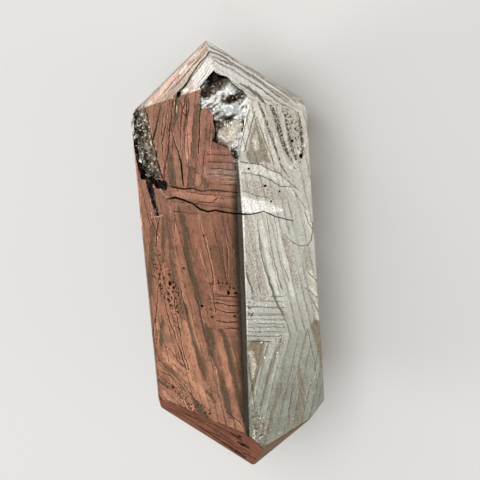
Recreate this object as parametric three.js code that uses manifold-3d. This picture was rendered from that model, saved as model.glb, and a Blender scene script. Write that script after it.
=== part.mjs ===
// A hexagonal point sawn from an iron meteorite: six long sides, a six-sided tip at each end, and
// natural hollows, crystals and cracks that the saw left open. It is one piece of metal.
// Lengths are millimetres and angles are degrees. The stone lies along Y with its head tip at +Y.
// A turn goes round the stone from straight up towards +X. A lean tips a face towards the head.

import * as THREE from 'three';
import { ConvexGeometry } from 'three/addons/geometries/ConvexGeometry.js';
import { mergeVertices } from 'three/addons/utils/BufferGeometryUtils.js';
import Module from 'manifold-3d';

// Saw cuts: a flat face at this turn and lean, this far from the core line of the stone.
const SIDE_CUTS = [
  { turn: 0, lean: 1.0, reach: 8.36 },
  { turn: 63, lean: -1.7, reach: 8.51 },
  { turn: 116, lean: -0.5, reach: 8.74 },
  { turn: 180, lean: 0, reach: 8.6 },
  { turn: 239, lean: 0.4, reach: 8.55 },
  { turn: 295.3, lean: -0.2, reach: 8.7 },
];
const HEAD_CUTS = [
  { turn: -17, lean: 48.3, reach: 18.2 },
  { turn: 87.6, lean: 49.8, reach: 17.34 },
  { turn: 117.5, lean: 52.3, reach: 17.04 },
  { turn: 180, lean: 50, reach: 15.3 },
  { turn: 239, lean: 49, reach: 15.55 },
  { turn: 291.6, lean: 49.7, reach: 17.16 },
];
const FOOT_CUTS = [
  { turn: -18.2, lean: -42.7, reach: 16.92 },
  { turn: 77, lean: -49.2, reach: 19.15 },
  { turn: 118.5, lean: -47.9, reach: 17.9 },
  { turn: 180, lean: -48, reach: 16.7 },
  { turn: 239, lean: -50, reach: 17.0 },
  { turn: 291.8, lean: -49.5, reach: 17.63 },
];

// Width of the narrow flat that polishing left along each ridge, and along the bold front ridge.
const RIDGE_WIDTH = 0.22;
const FRONT_RIDGE_WIDTH = 0.5;

// Square-on views in which the damage is placed. A spot is given right and up in its view.
const FRONT = 26;
const LEFT = -95;
const BEHIND = 150;

// Patches of natural surface that the saw left: a ragged outline, a bed this far below the sawn
// faces, and the rough pits and crystals scattered over the bed.
const PATCHES = [
  {
    view: FRONT,
    bed: 0.32,
    outline: [[-0.1, 19.5], [-0.9, 18.9], [-1.5, 18.2], [-1.7, 17.2], [-1.8, 16.5], [-1.6, 16.0],
      [-1.0, 16.2], [-0.6, 15.3], [-0.5, 14.1], [-0.8, 12.8], [0.0, 12.3], [0.9, 12.0], [1.0, 10.7],
      [1.2, 10.1], [1.6, 11.0], [1.7, 12.2], [2.2, 13.8], [2.7, 15.7], [3.1, 16.8], [2.5, 17.5],
      [1.9, 18.1], [1.0, 19.0]],
    pits: { count: 12, size: [0.25, 0.5], deep: [0.4, 0.7] },
    crystals: { count: 12, size: [0.2, 0.42], sunk: [0.2, 0.5] },
  },
  {
    view: FRONT,
    bed: 0.26,
    outline: [[-7.35, 16.0], [-7.1, 14.6], [-6.85, 12.7], [-6.65, 10.6], [-6.3, 9.2], [-7.5, 8.8],
      [-8.35, 9.2], [-8.65, 11.0], [-8.7, 12.8], [-8.75, 14.6], [-9.3, 15.0], [-9.2, 15.9],
      [-8.2, 16.1]],
    pits: { count: 15, size: [0.25, 0.5], deep: [0.35, 0.75] },
    crystals: { count: 12, size: [0.2, 0.4], sunk: [0.15, 0.4] },
  },
  {
    view: LEFT,
    bed: 0.28,
    outline: [[-8.2, -0.9], [-6.4, -0.3], [-3.6, -0.7], [-0.6, -0.2], [1.7, -1.2], [0.4, -2.1],
      [-2.2, -2.3], [-5.0, -2.0], [-7.4, -1.8]],
    pits: { count: 11, size: [0.35, 0.75], deep: [0.4, 0.9] },
    crystals: { count: 7, size: [0.25, 0.5], sunk: [0.2, 0.4] },
  },
  {
    view: BEHIND,
    bed: 0.3,
    outline: [[2.0, 9.6], [1.1, 7.9], [1.2, 5.4], [2.1, 3.2], [3.4, 3.9], [3.8, 5.9], [3.5, 8.2],
      [2.9, 9.4]],
    pits: { count: 11, size: [0.35, 0.75], deep: [0.4, 0.9] },
    crystals: { count: 7, size: [0.25, 0.5], sunk: [0.2, 0.4] },
  },
];

// Bright crystals that stand in the corner patch, nearly as high as the sawn faces.
const CORNER_CRYSTALS = [
  { spot: [0.1, 17.4], size: 0.62, sunk: 0.16 },
  { spot: [1.0, 17.95], size: 0.5, sunk: 0.14 },
  { spot: [-0.5, 16.7], size: 0.6, sunk: 0.1 },
  { spot: [0.4, 16.3], size: 0.55, sunk: 0.1 },
  { spot: [-1.3, 16.3], size: 0.4, sunk: 0.04 },
  { spot: [1.2, 15.85], size: 0.8, sunk: 0.06 },
  { spot: [2.05, 15.75], size: 0.6, sunk: 0.04 },
  { spot: [2.55, 16.5], size: 0.65, sunk: 0.05 },
  { spot: [1.65, 14.3], size: 0.6, sunk: 0.08 },
  { spot: [1.55, 13.5], size: 0.65, sunk: 0.1 },
  { spot: [0.9, 13.0], size: 0.6, sunk: 0.12 },
  { spot: [0.2, 13.3], size: 0.55, sunk: 0.14 },
];

// Pits with a place of their own, seen in the front view: the dark holes of the corner, the black
// hole at the foot of the left crust, and what etching ate out of the shoulder and the foot.
const FRONT_PITS = [
  { spot: [-1.05, 17.6], wide: 0.62, long: 0.8, deep: 1.6, tilt: -20 },
  { spot: [-0.55, 18.3], wide: 0.5, long: 0.55, deep: 1.4 },
  { spot: [0.3, 18.45], wide: 0.75, long: 0.5, deep: 1.5, tilt: 10 },
  { spot: [-0.5, 18.95], wide: 0.22, long: 0.22, deep: 0.7 },
  { spot: [1.35, 16.9], wide: 0.6, long: 0.42, deep: 1.3, tilt: 40 },
  { spot: [2.1, 17.2], wide: 0.65, long: 0.36, deep: 1.2, tilt: 25 },
  { spot: [0.6, 17.2], wide: 0.22, long: 0.22, deep: 0.9 },
  { spot: [-0.1, 15.5], wide: 0.24, long: 0.2, deep: 0.8 },
  { spot: [0.1, 14.3], wide: 0.7, long: 0.34, deep: 1.3, tilt: 40 },
  { spot: [0.95, 14.95], wide: 0.6, long: 0.3, deep: 1.3, tilt: 20 },
  { spot: [1.3, 11.4], wide: 0.34, long: 0.6, deep: 0.7 },
  { spot: [-8.0, 9.15], wide: 0.5, long: 0.24, deep: 1.5, tilt: -5 },
  { spot: [-7.2, 8.8], wide: 0.55, long: 0.34, deep: 2.0, tilt: -30 },
  { spot: [-6.6, 8.5], wide: 0.5, long: 0.5, deep: 2.4 },
  { spot: [-6.05, 8.4], wide: 0.42, long: 0.55, deep: 2.4, tilt: -15 },
  { spot: [-3.75, 17.5], wide: 0.24, long: 0.4, deep: 1.0, tilt: -35 },
  { spot: [-0.4, -19.75], wide: 0.3, long: 0.34, deep: 0.5 },
  { spot: [-0.6, -18.0], wide: 0.34, long: 0.2, deep: 0.4 },
];

// Small pits on the front faces: where they are, how wide and how long.
const FRONT_DOTS = [
  [-4.8, -0.1, 0.12, 0.14], [-6.4, -1.8, 0.16, 0.34], [-7.4, -2.0, 0.13, 0.22], [-6.0, -2.2, 0.12, 0.2],
  [-6.7, -3.5, 0.16, 0.15], [-3.3, -4.0, 0.2, 0.14], [-0.5, -2.5, 0.2, 0.26], [0.2, -2.5, 0.22, 0.14],
  [-2.4, -5.1, 0.16, 0.12], [-0.1, -4.9, 0.16, 0.12], [-1.4, -1.5, 0.12, 0.13], [-2.5, 3.3, 0.13, 0.14],
  [2.5, 9.9, 0.15, 0.15], [4.0, 7.8, 0.2, 0.16], [5.4, 6.9, 0.14, 0.12], [4.5, 6.1, 0.14, 0.12],
  [7.1, 11.7, 0.22, 0.2], [7.9, 10.0, 0.22, 0.32],
];
const DOT_DEPTH = 0.32;

// Cracks and etched grooves. Each is thickest just after its start and thin at both ends.
const CRACKS = [
  { view: FRONT, width: 0.2, deep: 0.4, path: [[-5.7, 8.3], [-4.9, 8.2], [-4.1, 8.0], [-3.2, 8.1],
    [-2.3, 7.8], [-1.3, 8.0], [-0.3, 7.9], [1.3, 7.7]] },
  { view: FRONT, width: 0.24, deep: 0.5, path: [[-5.9, 7.0], [-5.1, 7.1], [-4.2, 6.9], [-3.4, 6.6],
    [-2.7, 6.0], [-1.9, 5.8], [-1.1, 5.9], [0.1, 5.7], [1.3, 5.6], [2.4, 5.3], [3.7, 5.3], [4.8, 4.5],
    [6.6, 3.6]] },
  { view: FRONT, width: 0.22, deep: 0.45, path: [[-4.1, 8.3], [-4.1, 9.1], [-4.1, 10.5], [-4.3, 11.8],
    [-4.6, 13.0], [-4.8, 14.0]] },
  { view: FRONT, width: 0.22, deep: 0.45, path: [[-6.1, 9.0], [-6.35, 9.7], [-6.5, 10.9], [-6.75, 12.7],
    [-7.0, 14.0], [-7.1, 15.5], [-7.4, 16.4]] },
  { view: FRONT, width: 0.85, deep: 1.0, path: [[-7.7, 9.0], [-7.6, 8.2], [-7.4, 7.2], [-7.2, 6.1],
    [-7.0, 5.2]] },
  { view: FRONT, width: 0.14, deep: 0.3, path: [[-3.8, 17.6], [-3.3, 18.1], [-2.5, 19.0], [-1.4, 20.2],
    [-0.4, 21.2]] },
  { view: FRONT, width: 0.2, deep: 0.3, path: [[-4.0, 17.3], [-4.2, 16.4], [-4.3, 15.4]] },
  { view: FRONT, width: 0.3, deep: 0.6, path: [[-1.6, -21.3], [-0.9, -21.5], [-0.1, -21.6],
    [0.9, -22.1]] },
  { view: LEFT, width: 0.2, deep: 0.4, path: [[-4.0, 7.0], [-2.6, 6.2], [-1.2, 6.4], [0.4, 5.6],
    [2.2, 5.9]] },
  { view: BEHIND, width: 0.24, deep: 0.45, path: [[-3.0, -7.6], [-1.6, -7.0], [0.2, -7.4], [1.8, -6.2],
    [3.6, -6.0]] },
];

// Small round pits scattered over the views from the left and from behind.
const DOTS = {
  views: [LEFT, BEHIND],
  count: 10,
  wide: 6.2,
  long: 14,
  size: [0.14, 0.26],
  deep: [0.2, 0.35],
};

// Random numbers that are the same in every build.
let state = 4127;
function random() {
  state = (state * 16807) % 2147483647;
  return state / 2147483647;
}
const between = ([low, high]) => low + (high - low) * random();
const several = (count, make) => Array.from({ length: count }, make);

const radians = THREE.MathUtils.degToRad;
function facing(turn, lean) {
  return new THREE.Vector3(0, Math.sin(radians(lean)), Math.cos(radians(lean)))
    .applyAxisAngle(new THREE.Vector3(0, 1, 0), radians(turn));
}

// A plane keeps what lies on its inner side, where normal . point <= reach.
const planeOf = ({ turn, lean, reach }) => ({ normal: facing(turn, lean), reach });

// Corners of the convex solid inside all the planes: each is where three of the planes meet.
const SAME_PLACE = 1e-3;
const NEVER_MEETING = 1e-6;
function cornersInside(planes) {
  const corners = [];
  planes.forEach((a, i) => planes.slice(0, i).forEach((b, j) => planes.slice(0, j).forEach((c) => {
    const ab = new THREE.Vector3().crossVectors(a.normal, b.normal);
    const volume = ab.dot(c.normal);
    if (Math.abs(volume) < NEVER_MEETING) return;
    const corner = new THREE.Vector3()
      .addScaledVector(new THREE.Vector3().crossVectors(b.normal, c.normal), a.reach)
      .addScaledVector(new THREE.Vector3().crossVectors(c.normal, a.normal), b.reach)
      .addScaledVector(ab, c.reach)
      .divideScalar(volume);
    if (planes.some((plane) => plane.normal.dot(corner) > plane.reach + SAME_PLACE)) return;
    if (corners.every((other) => other.distanceTo(corner) > SAME_PLACE)) corners.push(corner);
  })));
  return corners;
}

// Joining and cutting work on closed solids whose shared corners are one corner.
function weld(geometry) {
  geometry.deleteAttribute('normal');
  geometry.deleteAttribute('uv');
  return mergeVertices(geometry);
}
const convexGeometry = (planes) => weld(new ConvexGeometry(cornersInside(planes)));

// The narrow flat along every ridge between two cuts. The front ridge is between the first two.
const ON_PLANE = 2 * SAME_PLACE;
function ridgeFlats(planes) {
  const corners = cornersInside(planes);
  const touches = (plane, corner) => Math.abs(plane.normal.dot(corner) - plane.reach) < ON_PLANE;
  const flats = [];
  planes.forEach((a, i) => planes.slice(0, i).forEach((b, j) => {
    const shared = corners.filter((corner) => touches(a, corner) && touches(b, corner));
    if (shared.length < 2) return;
    const width = i === 1 && j === 0 ? FRONT_RIDGE_WIDTH : RIDGE_WIDTH;
    const normal = new THREE.Vector3().addVectors(a.normal, b.normal).normalize();
    const drop = (width / 2) * Math.tan(a.normal.angleTo(b.normal) / 2);
    flats.push({ normal, reach: normal.dot(shared[0]) - drop });
  }));
  return flats;
}

const cuts = [...SIDE_CUTS, ...HEAD_CUTS, ...FOOT_CUTS].map(planeOf);
const sawn = [...cuts, ...ridgeFlats(cuts)];

const wasm = await Module();
wasm.setup();
const toSolid = (geometry) => new wasm.Manifold(new wasm.Mesh({
  numProp: 3,
  vertProperties: new Float32Array(geometry.attributes.position.array),
  triVerts: new Uint32Array(geometry.index.array),
}));
const joined = (solids) => solids.reduce((all, one) => all.add(one));

// The axes of a square-on view, and the place on the sawn stone under a spot in it.
function viewAxes(view) {
  return { right: facing(view + 90, 0), up: new THREE.Vector3(0, 1, 0), out: facing(view, 0) };
}
function surfaceUnder(view, [right, up]) {
  const axes = viewAxes(view);
  const start = axes.right.clone().multiplyScalar(right).addScaledVector(axes.up, up);
  const heights = sawn.filter((plane) => plane.normal.dot(axes.out) > 0)
    .map((plane) => (plane.reach - plane.normal.dot(start)) / plane.normal.dot(axes.out));
  return start.addScaledVector(axes.out, Math.min(...heights));
}
function standAt(geometry, view, place) {
  const axes = viewAxes(view);
  geometry.applyMatrix4(new THREE.Matrix4().makeBasis(axes.right, axes.up, axes.out).setPosition(place));
  return toSolid(geometry);
}

// The outline of a patch with a ragged edge: points every step, each pushed a little off the line.
const RAG_STEP = 0.5;
const RAG = 0.09;
function ragged(outline) {
  return outline.flatMap(([right, up], i) => {
    const [nextRight, nextUp] = outline[(i + 1) % outline.length];
    const steps = Math.max(1, Math.round(Math.hypot(nextRight - right, nextUp - up) / RAG_STEP));
    return several(steps, (_, step) => new THREE.Vector2(
      right + (nextRight - right) * (step / steps) + between([-RAG, RAG]),
      up + (nextUp - up) * (step / steps) + between([-RAG, RAG]),
    ));
  });
}

// The bed of a patch: a slice of the stone between its sawn faces and the same faces set back.
const STONE_RADIUS = 12;
function setBack(depth) {
  return toSolid(convexGeometry(cuts.map(({ normal, reach }) => ({ normal, reach: reach - depth }))));
}
function bed({ view, outline, bed: depth }) {
  const edge = new THREE.Shape(ragged(outline));
  const prism = weld(new THREE.ExtrudeGeometry(edge, { depth: STONE_RADIUS, bevelEnabled: false }));
  return standAt(prism, view, new THREE.Vector3()).subtract(setBack(depth));
}

// A pit: a ball whose corners are pushed in and out, scaled wide, long and deep. A big one has more.
const SHAKE = [0.84, 1.16];
const BIG_PIT = 0.4;
function pit(view, { spot, wide, long, deep, tilt = 0 }, detail = wide > BIG_PIT ? 1 : 0) {
  const ball = weld(new THREE.IcosahedronGeometry(1, detail));
  const corners = ball.attributes.position;
  for (let i = 0; i < corners.count; i++) {
    const corner = new THREE.Vector3().fromBufferAttribute(corners, i).multiplyScalar(between(SHAKE));
    corners.setXYZ(i, corner.x, corner.y, corner.z);
  }
  ball.scale(wide, long, deep);
  ball.rotateZ(radians(tilt));
  return standAt(ball, view, surfaceUnder(view, spot));
}

// A crystal: flat faces round its waist and at each end, turned any way up. Its middle is sunk by a
// share of its size and more. Every face is a little off its even turn, lean and reach.
const CRYSTAL_FACES = [
  { lean: 0, count: 5 },
  { lean: 55, count: 3 },
  { lean: -55, count: 3 },
];
const FACE_TURN = [-0.2, 0.2];
const FACE_LEAN = [-12, 12];
const FACE_REACH = [0.75, 1.1];
const ANY_WAY_UP = [0, 180];
const MIDDLE_SUNK = 0.6;
function crystal(view, { spot, size, sunk }) {
  const planes = CRYSTAL_FACES.flatMap(({ lean, count }) => several(count, (_, i) => planeOf({
    turn: (360 / count) * (i + between(FACE_TURN)),
    lean: lean + between(FACE_LEAN),
    reach: size * between(FACE_REACH),
  })));
  const geometry = convexGeometry(planes);
  geometry.rotateX(radians(between(ANY_WAY_UP)));
  geometry.rotateZ(radians(between(ANY_WAY_UP)));
  const place = surfaceUnder(view, spot)
    .addScaledVector(facing(view, 0), -sunk - size * MIDDLE_SUNK);
  return standAt(geometry, view, place);
}

// A crack: a long wedge, open above the surface, jagged, and thin where it starts and where it ends.
const CRACK_RISE = 0.5;
const CRACK_THIN_END = 0.35;
const CRACK_STEP = 0.7;
const CRACK_SHAKE = [-0.06, 0.06];
const CRACK_OPENING = [0.75, 1.15];
function jagged(path) {
  const last = path.length - 1;
  return path.flatMap(([right, up], i) => {
    if (i === last) return [path[last]];
    const [nextRight, nextUp] = path[i + 1];
    const steps = Math.max(1, Math.round(Math.hypot(nextRight - right, nextUp - up) / CRACK_STEP));
    return several(steps, (_, step) => [
      right + (nextRight - right) * (step / steps) + between(CRACK_SHAKE),
      up + (nextUp - up) * (step / steps) + between(CRACK_SHAKE),
    ]);
  });
}
function crack({ view, width, deep, path }) {
  const axes = viewAxes(view);
  const spots = jagged(path);
  const last = spots.length - 1;
  const points = spots.flatMap((spot, i) => {
    const before = spots[Math.max(i - 1, 0)];
    const after = spots[Math.min(i + 1, last)];
    const run = new THREE.Vector2(after[0] - before[0], after[1] - before[1]).normalize();
    const side = axes.right.clone().multiplyScalar(-run.y).addScaledVector(axes.up, run.x);
    const thinned = 1 - (1 - CRACK_THIN_END) * (i / last);
    const share = i === 0 ? CRACK_THIN_END : thinned * between(CRACK_OPENING);
    const lip = (width * share / 2) * (1 + CRACK_RISE / (deep * share));
    const surface = surfaceUnder(view, spot);
    const top = surface.clone().addScaledVector(axes.out, CRACK_RISE);
    return [
      top.clone().addScaledVector(side, lip),
      top.clone().addScaledVector(side, -lip),
      surface.clone().addScaledVector(axes.out, -deep * share),
    ];
  });
  const triangles = [0, 2, 1];
  const end = 3 * last;
  for (let i = 0; i < end; i += 3) {
    for (const [a, b] of [[0, 1], [1, 2], [2, 0]]) {
      triangles.push(i + a, i + b, i + 3 + b, i + a, i + 3 + b, i + 3 + a);
    }
  }
  triangles.push(end, end + 1, end + 2);
  const geometry = new THREE.BufferGeometry().setFromPoints(points);
  geometry.setIndex(triangles);
  return toSolid(geometry);
}

// Random spots inside an outline, and in a round field about the middle of a view.
function isInside(outline, [right, up]) {
  let inside = false;
  outline.forEach(([x, y], i) => {
    const [nextX, nextY] = outline[(i + 1) % outline.length];
    if ((y > up) !== (nextY > up) && right < x + ((nextX - x) * (up - y)) / (nextY - y)) inside = !inside;
  });
  return inside;
}
function spotInside(outline) {
  const rights = outline.map(([right]) => right);
  const ups = outline.map(([, up]) => up);
  let spot;
  do {
    spot = [
      between([Math.min(...rights), Math.max(...rights)]),
      between([Math.min(...ups), Math.max(...ups)]),
    ];
  } while (!isInside(outline, spot));
  return spot;
}
function spotInField({ wide, long }) {
  const far = Math.sqrt(random());
  const turn = 2 * Math.PI * random();
  return [wide * far * Math.cos(turn), long * far * Math.sin(turn)];
}
const roughPit = (view, spot, { size, deep }) =>
  pit(view, { spot, wide: between(size), long: between(size), deep: between(deep) }, 0);

// The beds and rough pits of the patches, and the crystals that stand in them.
const beds = [
  ...PATCHES.map(bed),
  ...PATCHES.flatMap(({ view, outline, pits }) =>
    several(pits.count, () => roughPit(view, spotInside(outline), pits))),
];
const crystals = [
  ...PATCHES.flatMap(({ view, outline, crystals: { count, size, sunk } }) => several(count, () =>
    crystal(view, { spot: spotInside(outline), size: between(size), sunk: between(sunk) }))),
  ...CORNER_CRYSTALS.map((one) => crystal(FRONT, one)),
];

// What weather and etching opened after that: pits and cracks.
const opened = [
  ...FRONT_PITS.map((one) => pit(FRONT, one)),
  ...FRONT_DOTS.map(([right, up, wide, long]) =>
    pit(FRONT, { spot: [right, up], wide, long, deep: DOT_DEPTH })),
  ...DOTS.views.flatMap((view) => several(DOTS.count, () => roughPit(view, spotInField(DOTS), DOTS))),
  ...CRACKS.map(crack),
];

// A crystal never rises past the sawn faces. One that touches nothing has fallen out.
const sawnStone = toSolid(convexGeometry(sawn));
const stone = sawnStone.subtract(joined(beds))
  .add(sawnStone.intersect(joined(crystals)))
  .subtract(joined(opened))
  .decompose()
  .reduce((largest, piece) => (piece.volume() > largest.volume() ? piece : largest));

const mesh = stone.getMesh();
const shape = new THREE.BufferGeometry();
shape.setAttribute('position', new THREE.BufferAttribute(mesh.vertProperties, 3));
shape.setIndex(new THREE.BufferAttribute(mesh.triVerts, 1));
shape.computeBoundingBox();

// The origin is on the surface that the stone lies on, under the middle of its box.
const middle = shape.boundingBox.getCenter(new THREE.Vector3());
shape.translate(-middle.x, -middle.y, -shape.boundingBox.min.z);

const ETCHED_IRON = new THREE.MeshStandardMaterial({ color: 0x9c8f86, roughness: 0.38, metalness: 0.9 });
const point = new THREE.Mesh(shape, ETCHED_IRON);
point.name = 'meteorite_point';

const model = new THREE.Group();
model.add(point);
export default model;
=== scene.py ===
import math

import bpy
import numpy as np
from mathutils import Matrix, Vector, noise


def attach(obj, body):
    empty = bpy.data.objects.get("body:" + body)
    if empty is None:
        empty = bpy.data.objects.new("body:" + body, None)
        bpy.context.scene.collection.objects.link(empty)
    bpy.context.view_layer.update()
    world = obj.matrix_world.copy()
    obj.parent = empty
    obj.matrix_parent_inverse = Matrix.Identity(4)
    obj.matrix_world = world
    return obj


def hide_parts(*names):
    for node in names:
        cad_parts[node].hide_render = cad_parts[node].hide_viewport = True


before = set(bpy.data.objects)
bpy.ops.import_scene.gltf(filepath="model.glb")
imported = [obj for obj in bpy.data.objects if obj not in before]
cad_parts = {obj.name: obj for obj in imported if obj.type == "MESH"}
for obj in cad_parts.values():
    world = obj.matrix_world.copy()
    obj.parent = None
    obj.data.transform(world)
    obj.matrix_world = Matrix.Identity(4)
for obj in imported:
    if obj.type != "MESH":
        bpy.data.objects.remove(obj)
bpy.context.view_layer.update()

# The stone: one piece of nickel-iron from a meteorite, sawn to a six-sided point at both ends and
# polished. The hollows and cracks are as nature left them, and hold crystals and crumbs.
# Lengths here are millimetres until the mesh is written.
TO_MM = 1000.0
SAME_CORNER_DIGITS = 5
# The turn of the front view round the stone, and the middle of the stone's core.
FRONT_TURN = math.radians(26.07)
CORE = Vector((-0.072, 0.814, 8.6))
# A corner this near a plane lies on it, and normals this near each other belong to one plane.
TOUCHING = 0.003
SAME_WAY = math.cos(math.radians(3))
# The least area of a triangle that shows a sawn plane, and of a whole saw cut. Ridge flats have less.
SMALLEST_SAWN_FACE = 0.02
SMALLEST_CUT = 20.0
# How squarely a face of the front looks out of it, and the longest sides there and on rough faces.
SEEN_FROM_FRONT = 0.25
FRONT_SIDE = 1.6
FINEST_SIDE = 0.16


def surface_of(node):
    """The corners of a node, each once, and its triangles."""
    mesh = node.data
    mesh.calc_loop_triangles()
    places = np.empty(len(mesh.vertices) * 3, np.float32)
    mesh.vertices.foreach_get("co", places)
    triangles = np.empty(len(mesh.loop_triangles) * 3, np.int32)
    mesh.loop_triangles.foreach_get("vertices", triangles)
    places = np.round(places.reshape(-1, 3) * TO_MM, SAME_CORNER_DIGITS)
    places, order = np.unique(places, axis=0, return_inverse=True)
    return places.astype(float), order.ravel()[triangles].reshape(-1, 3)


def crosses(points, faces):
    """Each triangle's normal, as long as twice its area."""
    a, b, c = (points[faces[:, side]] for side in range(3))
    return np.cross(b - a, c - a)


def sawn_planes(points, faces):
    """Normals and reaches of the flat faces that touch the stone all round, as a saw leaves them."""
    cross = crosses(points, faces)
    area = np.linalg.norm(cross, axis=1) / 2
    planes = []
    for face in np.argsort(-area):
        if area[face] < SMALLEST_SAWN_FACE:
            break
        normal = cross[face] / (2 * area[face])
        reach = normal @ points[faces[face]].mean(axis=0)
        if any(normal @ other > SAME_WAY for other, _ in planes):
            continue
        if (points @ normal).max() < reach + TOUCHING:
            planes.append((normal, reach))
    return np.array([normal for normal, _ in planes]), np.array([reach for _, reach in planes])


def with_short_sides(points, faces, rough, longest):
    """The surface with the sides of rough faces cut shorter than this, and which face each came from."""
    origin = np.arange(len(faces))
    while True:
        sides = np.sort(np.stack([faces, np.roll(faces, -1, axis=1)], axis=2), axis=2).reshape(-1, 2)
        edges, place = np.unique(sides, axis=0, return_inverse=True)
        place = place.reshape(-1, 3)
        length = np.linalg.norm(points[edges[:, 0]] - points[edges[:, 1]], axis=1)
        split = np.zeros(len(edges), bool)
        split[place[rough[origin]].ravel()] = True
        split &= length > longest
        if not split.any():
            return points, faces, origin
        middle = np.full(len(edges), -1)
        middle[split] = len(points) + np.arange(split.sum())
        points = np.vstack([points, points[edges[split]].mean(axis=1)])
        cut = middle[place]
        count = (cut >= 0).sum(axis=1)
        # Each face is turned so that its first side is split, and its last is whole where two are split.
        whole_last = (np.argmin(cut >= 0, axis=1) + 1) % 3
        first = np.where(count == 2, whole_last, np.argmax(cut >= 0, axis=1))
        turn = (first[:, None] + np.arange(3)) % 3
        a, b, c = np.take_along_axis(faces, turn, 1).T
        ab, bc, ca = np.take_along_axis(cut, turn, 1).T
        pieces = [
            (0, (a, b, c)),
            (1, (a, ab, c)), (1, (ab, b, c)),
            (2, (ab, b, bc)), (2, (a, ab, bc)), (2, (a, bc, c)),
            (3, (a, ab, ca)), (3, (ab, b, bc)), (3, (ca, bc, c)), (3, (ab, bc, ca)),
        ]
        faces = np.vstack([np.stack(piece, axis=1)[count == splits] for splits, piece in pieces])
        origin = np.concatenate([origin[count == splits] for splits, _ in pieces])


points, faces = surface_of(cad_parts["meteorite_point"])
normals, reaches = sawn_planes(points, faces)
on_plane = np.abs(reaches - points @ normals.T) < TOUCHING
on_face = on_plane[faces].all(axis=1)
rough = ~on_face.any(axis=1)
plane_of_face = on_face.argmax(axis=1)
areas = np.linalg.norm(crosses(points, faces), axis=1) / 2
plane_area = np.bincount(plane_of_face[~rough], areas[~rough], len(normals))
is_cut = plane_area > SMALLEST_CUT
outward = np.array([math.sin(FRONT_TURN), 0, math.cos(FRONT_TURN)])
rightward = np.array([math.cos(FRONT_TURN), 0, -math.sin(FRONT_TURN)])
for marked, longest in (("front", FRONT_SIDE), ("rough", FINEST_SIDE)):
    shown = ~rough & (normals[plane_of_face] @ outward > SEEN_FROM_FRONT)
    chosen = shown if marked == "front" else rough
    points, faces, origin = with_short_sides(points, faces, chosen, longest)
    rough = rough[origin]
    plane_of_face = plane_of_face[origin]
on_plane = np.abs(reaches - points @ normals.T) < TOUCHING

# Broken iron: crystal faces at every tilt, large and small. Each cell has a slope of its own.
# The crystals' sizes and how steep they are, and how far they stay below the sawn faces.
CRYSTAL_SIZES = ((0.62, 0.16), (0.26, 0.08))
BELOW_SAWN = 0.02
# Spreads the middles of the cells, so that each has another slope.
DIFFERENT_CELLS = 7.3
# A normal shorter than this points nowhere.
NO_LENGTH = 1e-9


def crystal_relief(place):
    """How far the crystals of a broken face stand out of it at this place, or in."""
    height = 0.0
    for size, rise in CRYSTAL_SIZES:
        cell = noise.voronoi(Vector(place) / size)[1][0]
        slope = noise.cell_vector(cell * DIFFERENT_CELLS) * 2 - Vector((1, 1, 1))
        height += rise * slope.dot(Vector(place) / size - cell)
    return height


cross = crosses(points, faces)
point_normal = np.zeros_like(points)
for side in range(3):
    np.add.at(point_normal, faces[rough][:, side], cross[rough])
free = np.zeros(len(points), bool)
free[faces[rough].ravel()] = True
free &= ~on_plane.any(axis=1)
point_normal[free] /= np.maximum(np.linalg.norm(point_normal[free], axis=1), NO_LENGTH)[:, None]
depth = (reaches - points @ normals.T).min(axis=1)
moved = points.copy()
for index in np.flatnonzero(free):
    moved[index] += point_normal[index] * min(crystal_relief(points[index]), depth[index] - BELOW_SAWN)
moved = np.clip(moved, points.min(axis=0), points.max(axis=0))
stays_inside = (reaches - moved @ normals.T).min(axis=1) > BELOW_SAWN / 2
points[free & stays_inside] = moved[free & stays_inside]
depth = (reaches - points @ normals.T).min(axis=1)

stone_mesh = bpy.data.meshes.new("meteorite_stone")
stone_mesh.from_pydata(points / TO_MM, [], faces.tolist())
stone = bpy.data.objects.new("meteorite_stone", stone_mesh)
bpy.context.collection.objects.link(stone)

# Polishing rounded every ridge a little: a narrow flat there shades from one sawn face to the next.
cross = crosses(points, faces)
cut_sum = (on_plane & is_cut).astype(float) @ normals
corner_normals = np.repeat(cross[:, None], 3, axis=1)
sawn = ~rough
on_ridge = sawn & ~is_cut[plane_of_face]
corner_normals[sawn] = normals[plane_of_face[sawn]][:, None]
corner_normals[on_ridge] = cut_sum[faces[on_ridge]]
lost = np.linalg.norm(corner_normals, axis=2) < NO_LENGTH
corner_normals[lost] = normals[plane_of_face[np.nonzero(lost)[0]]]
corner_normals /= np.linalg.norm(corner_normals, axis=2, keepdims=True)
stone_mesh.normals_split_custom_set(corner_normals.reshape(-1, 3))

# The shader reads how deep a corner lies, and how much warm reflection is painted into a face: most on the
# left.
WARM_REFLECTION_ROUND_THE_BACK = 0.5
facing = normals[plane_of_face]
depth_mark = stone_mesh.attributes.new("depth", "FLOAT", "POINT")
depth_mark.data.foreach_set("value", depth.astype(np.float32))
painted_warm_reflection = np.clip(-facing @ rightward, 0, 1) * np.clip(WARM_REFLECTION_ROUND_THE_BACK + facing @ outward, 0, 1)
warm_reflection_mark = stone_mesh.attributes.new("painted_warm_reflection", "FLOAT", "FACE")
warm_reflection_mark.data.foreach_set("value", painted_warm_reflection.astype(np.float32))

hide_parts("meteorite_point")
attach(stone, "root")
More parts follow.
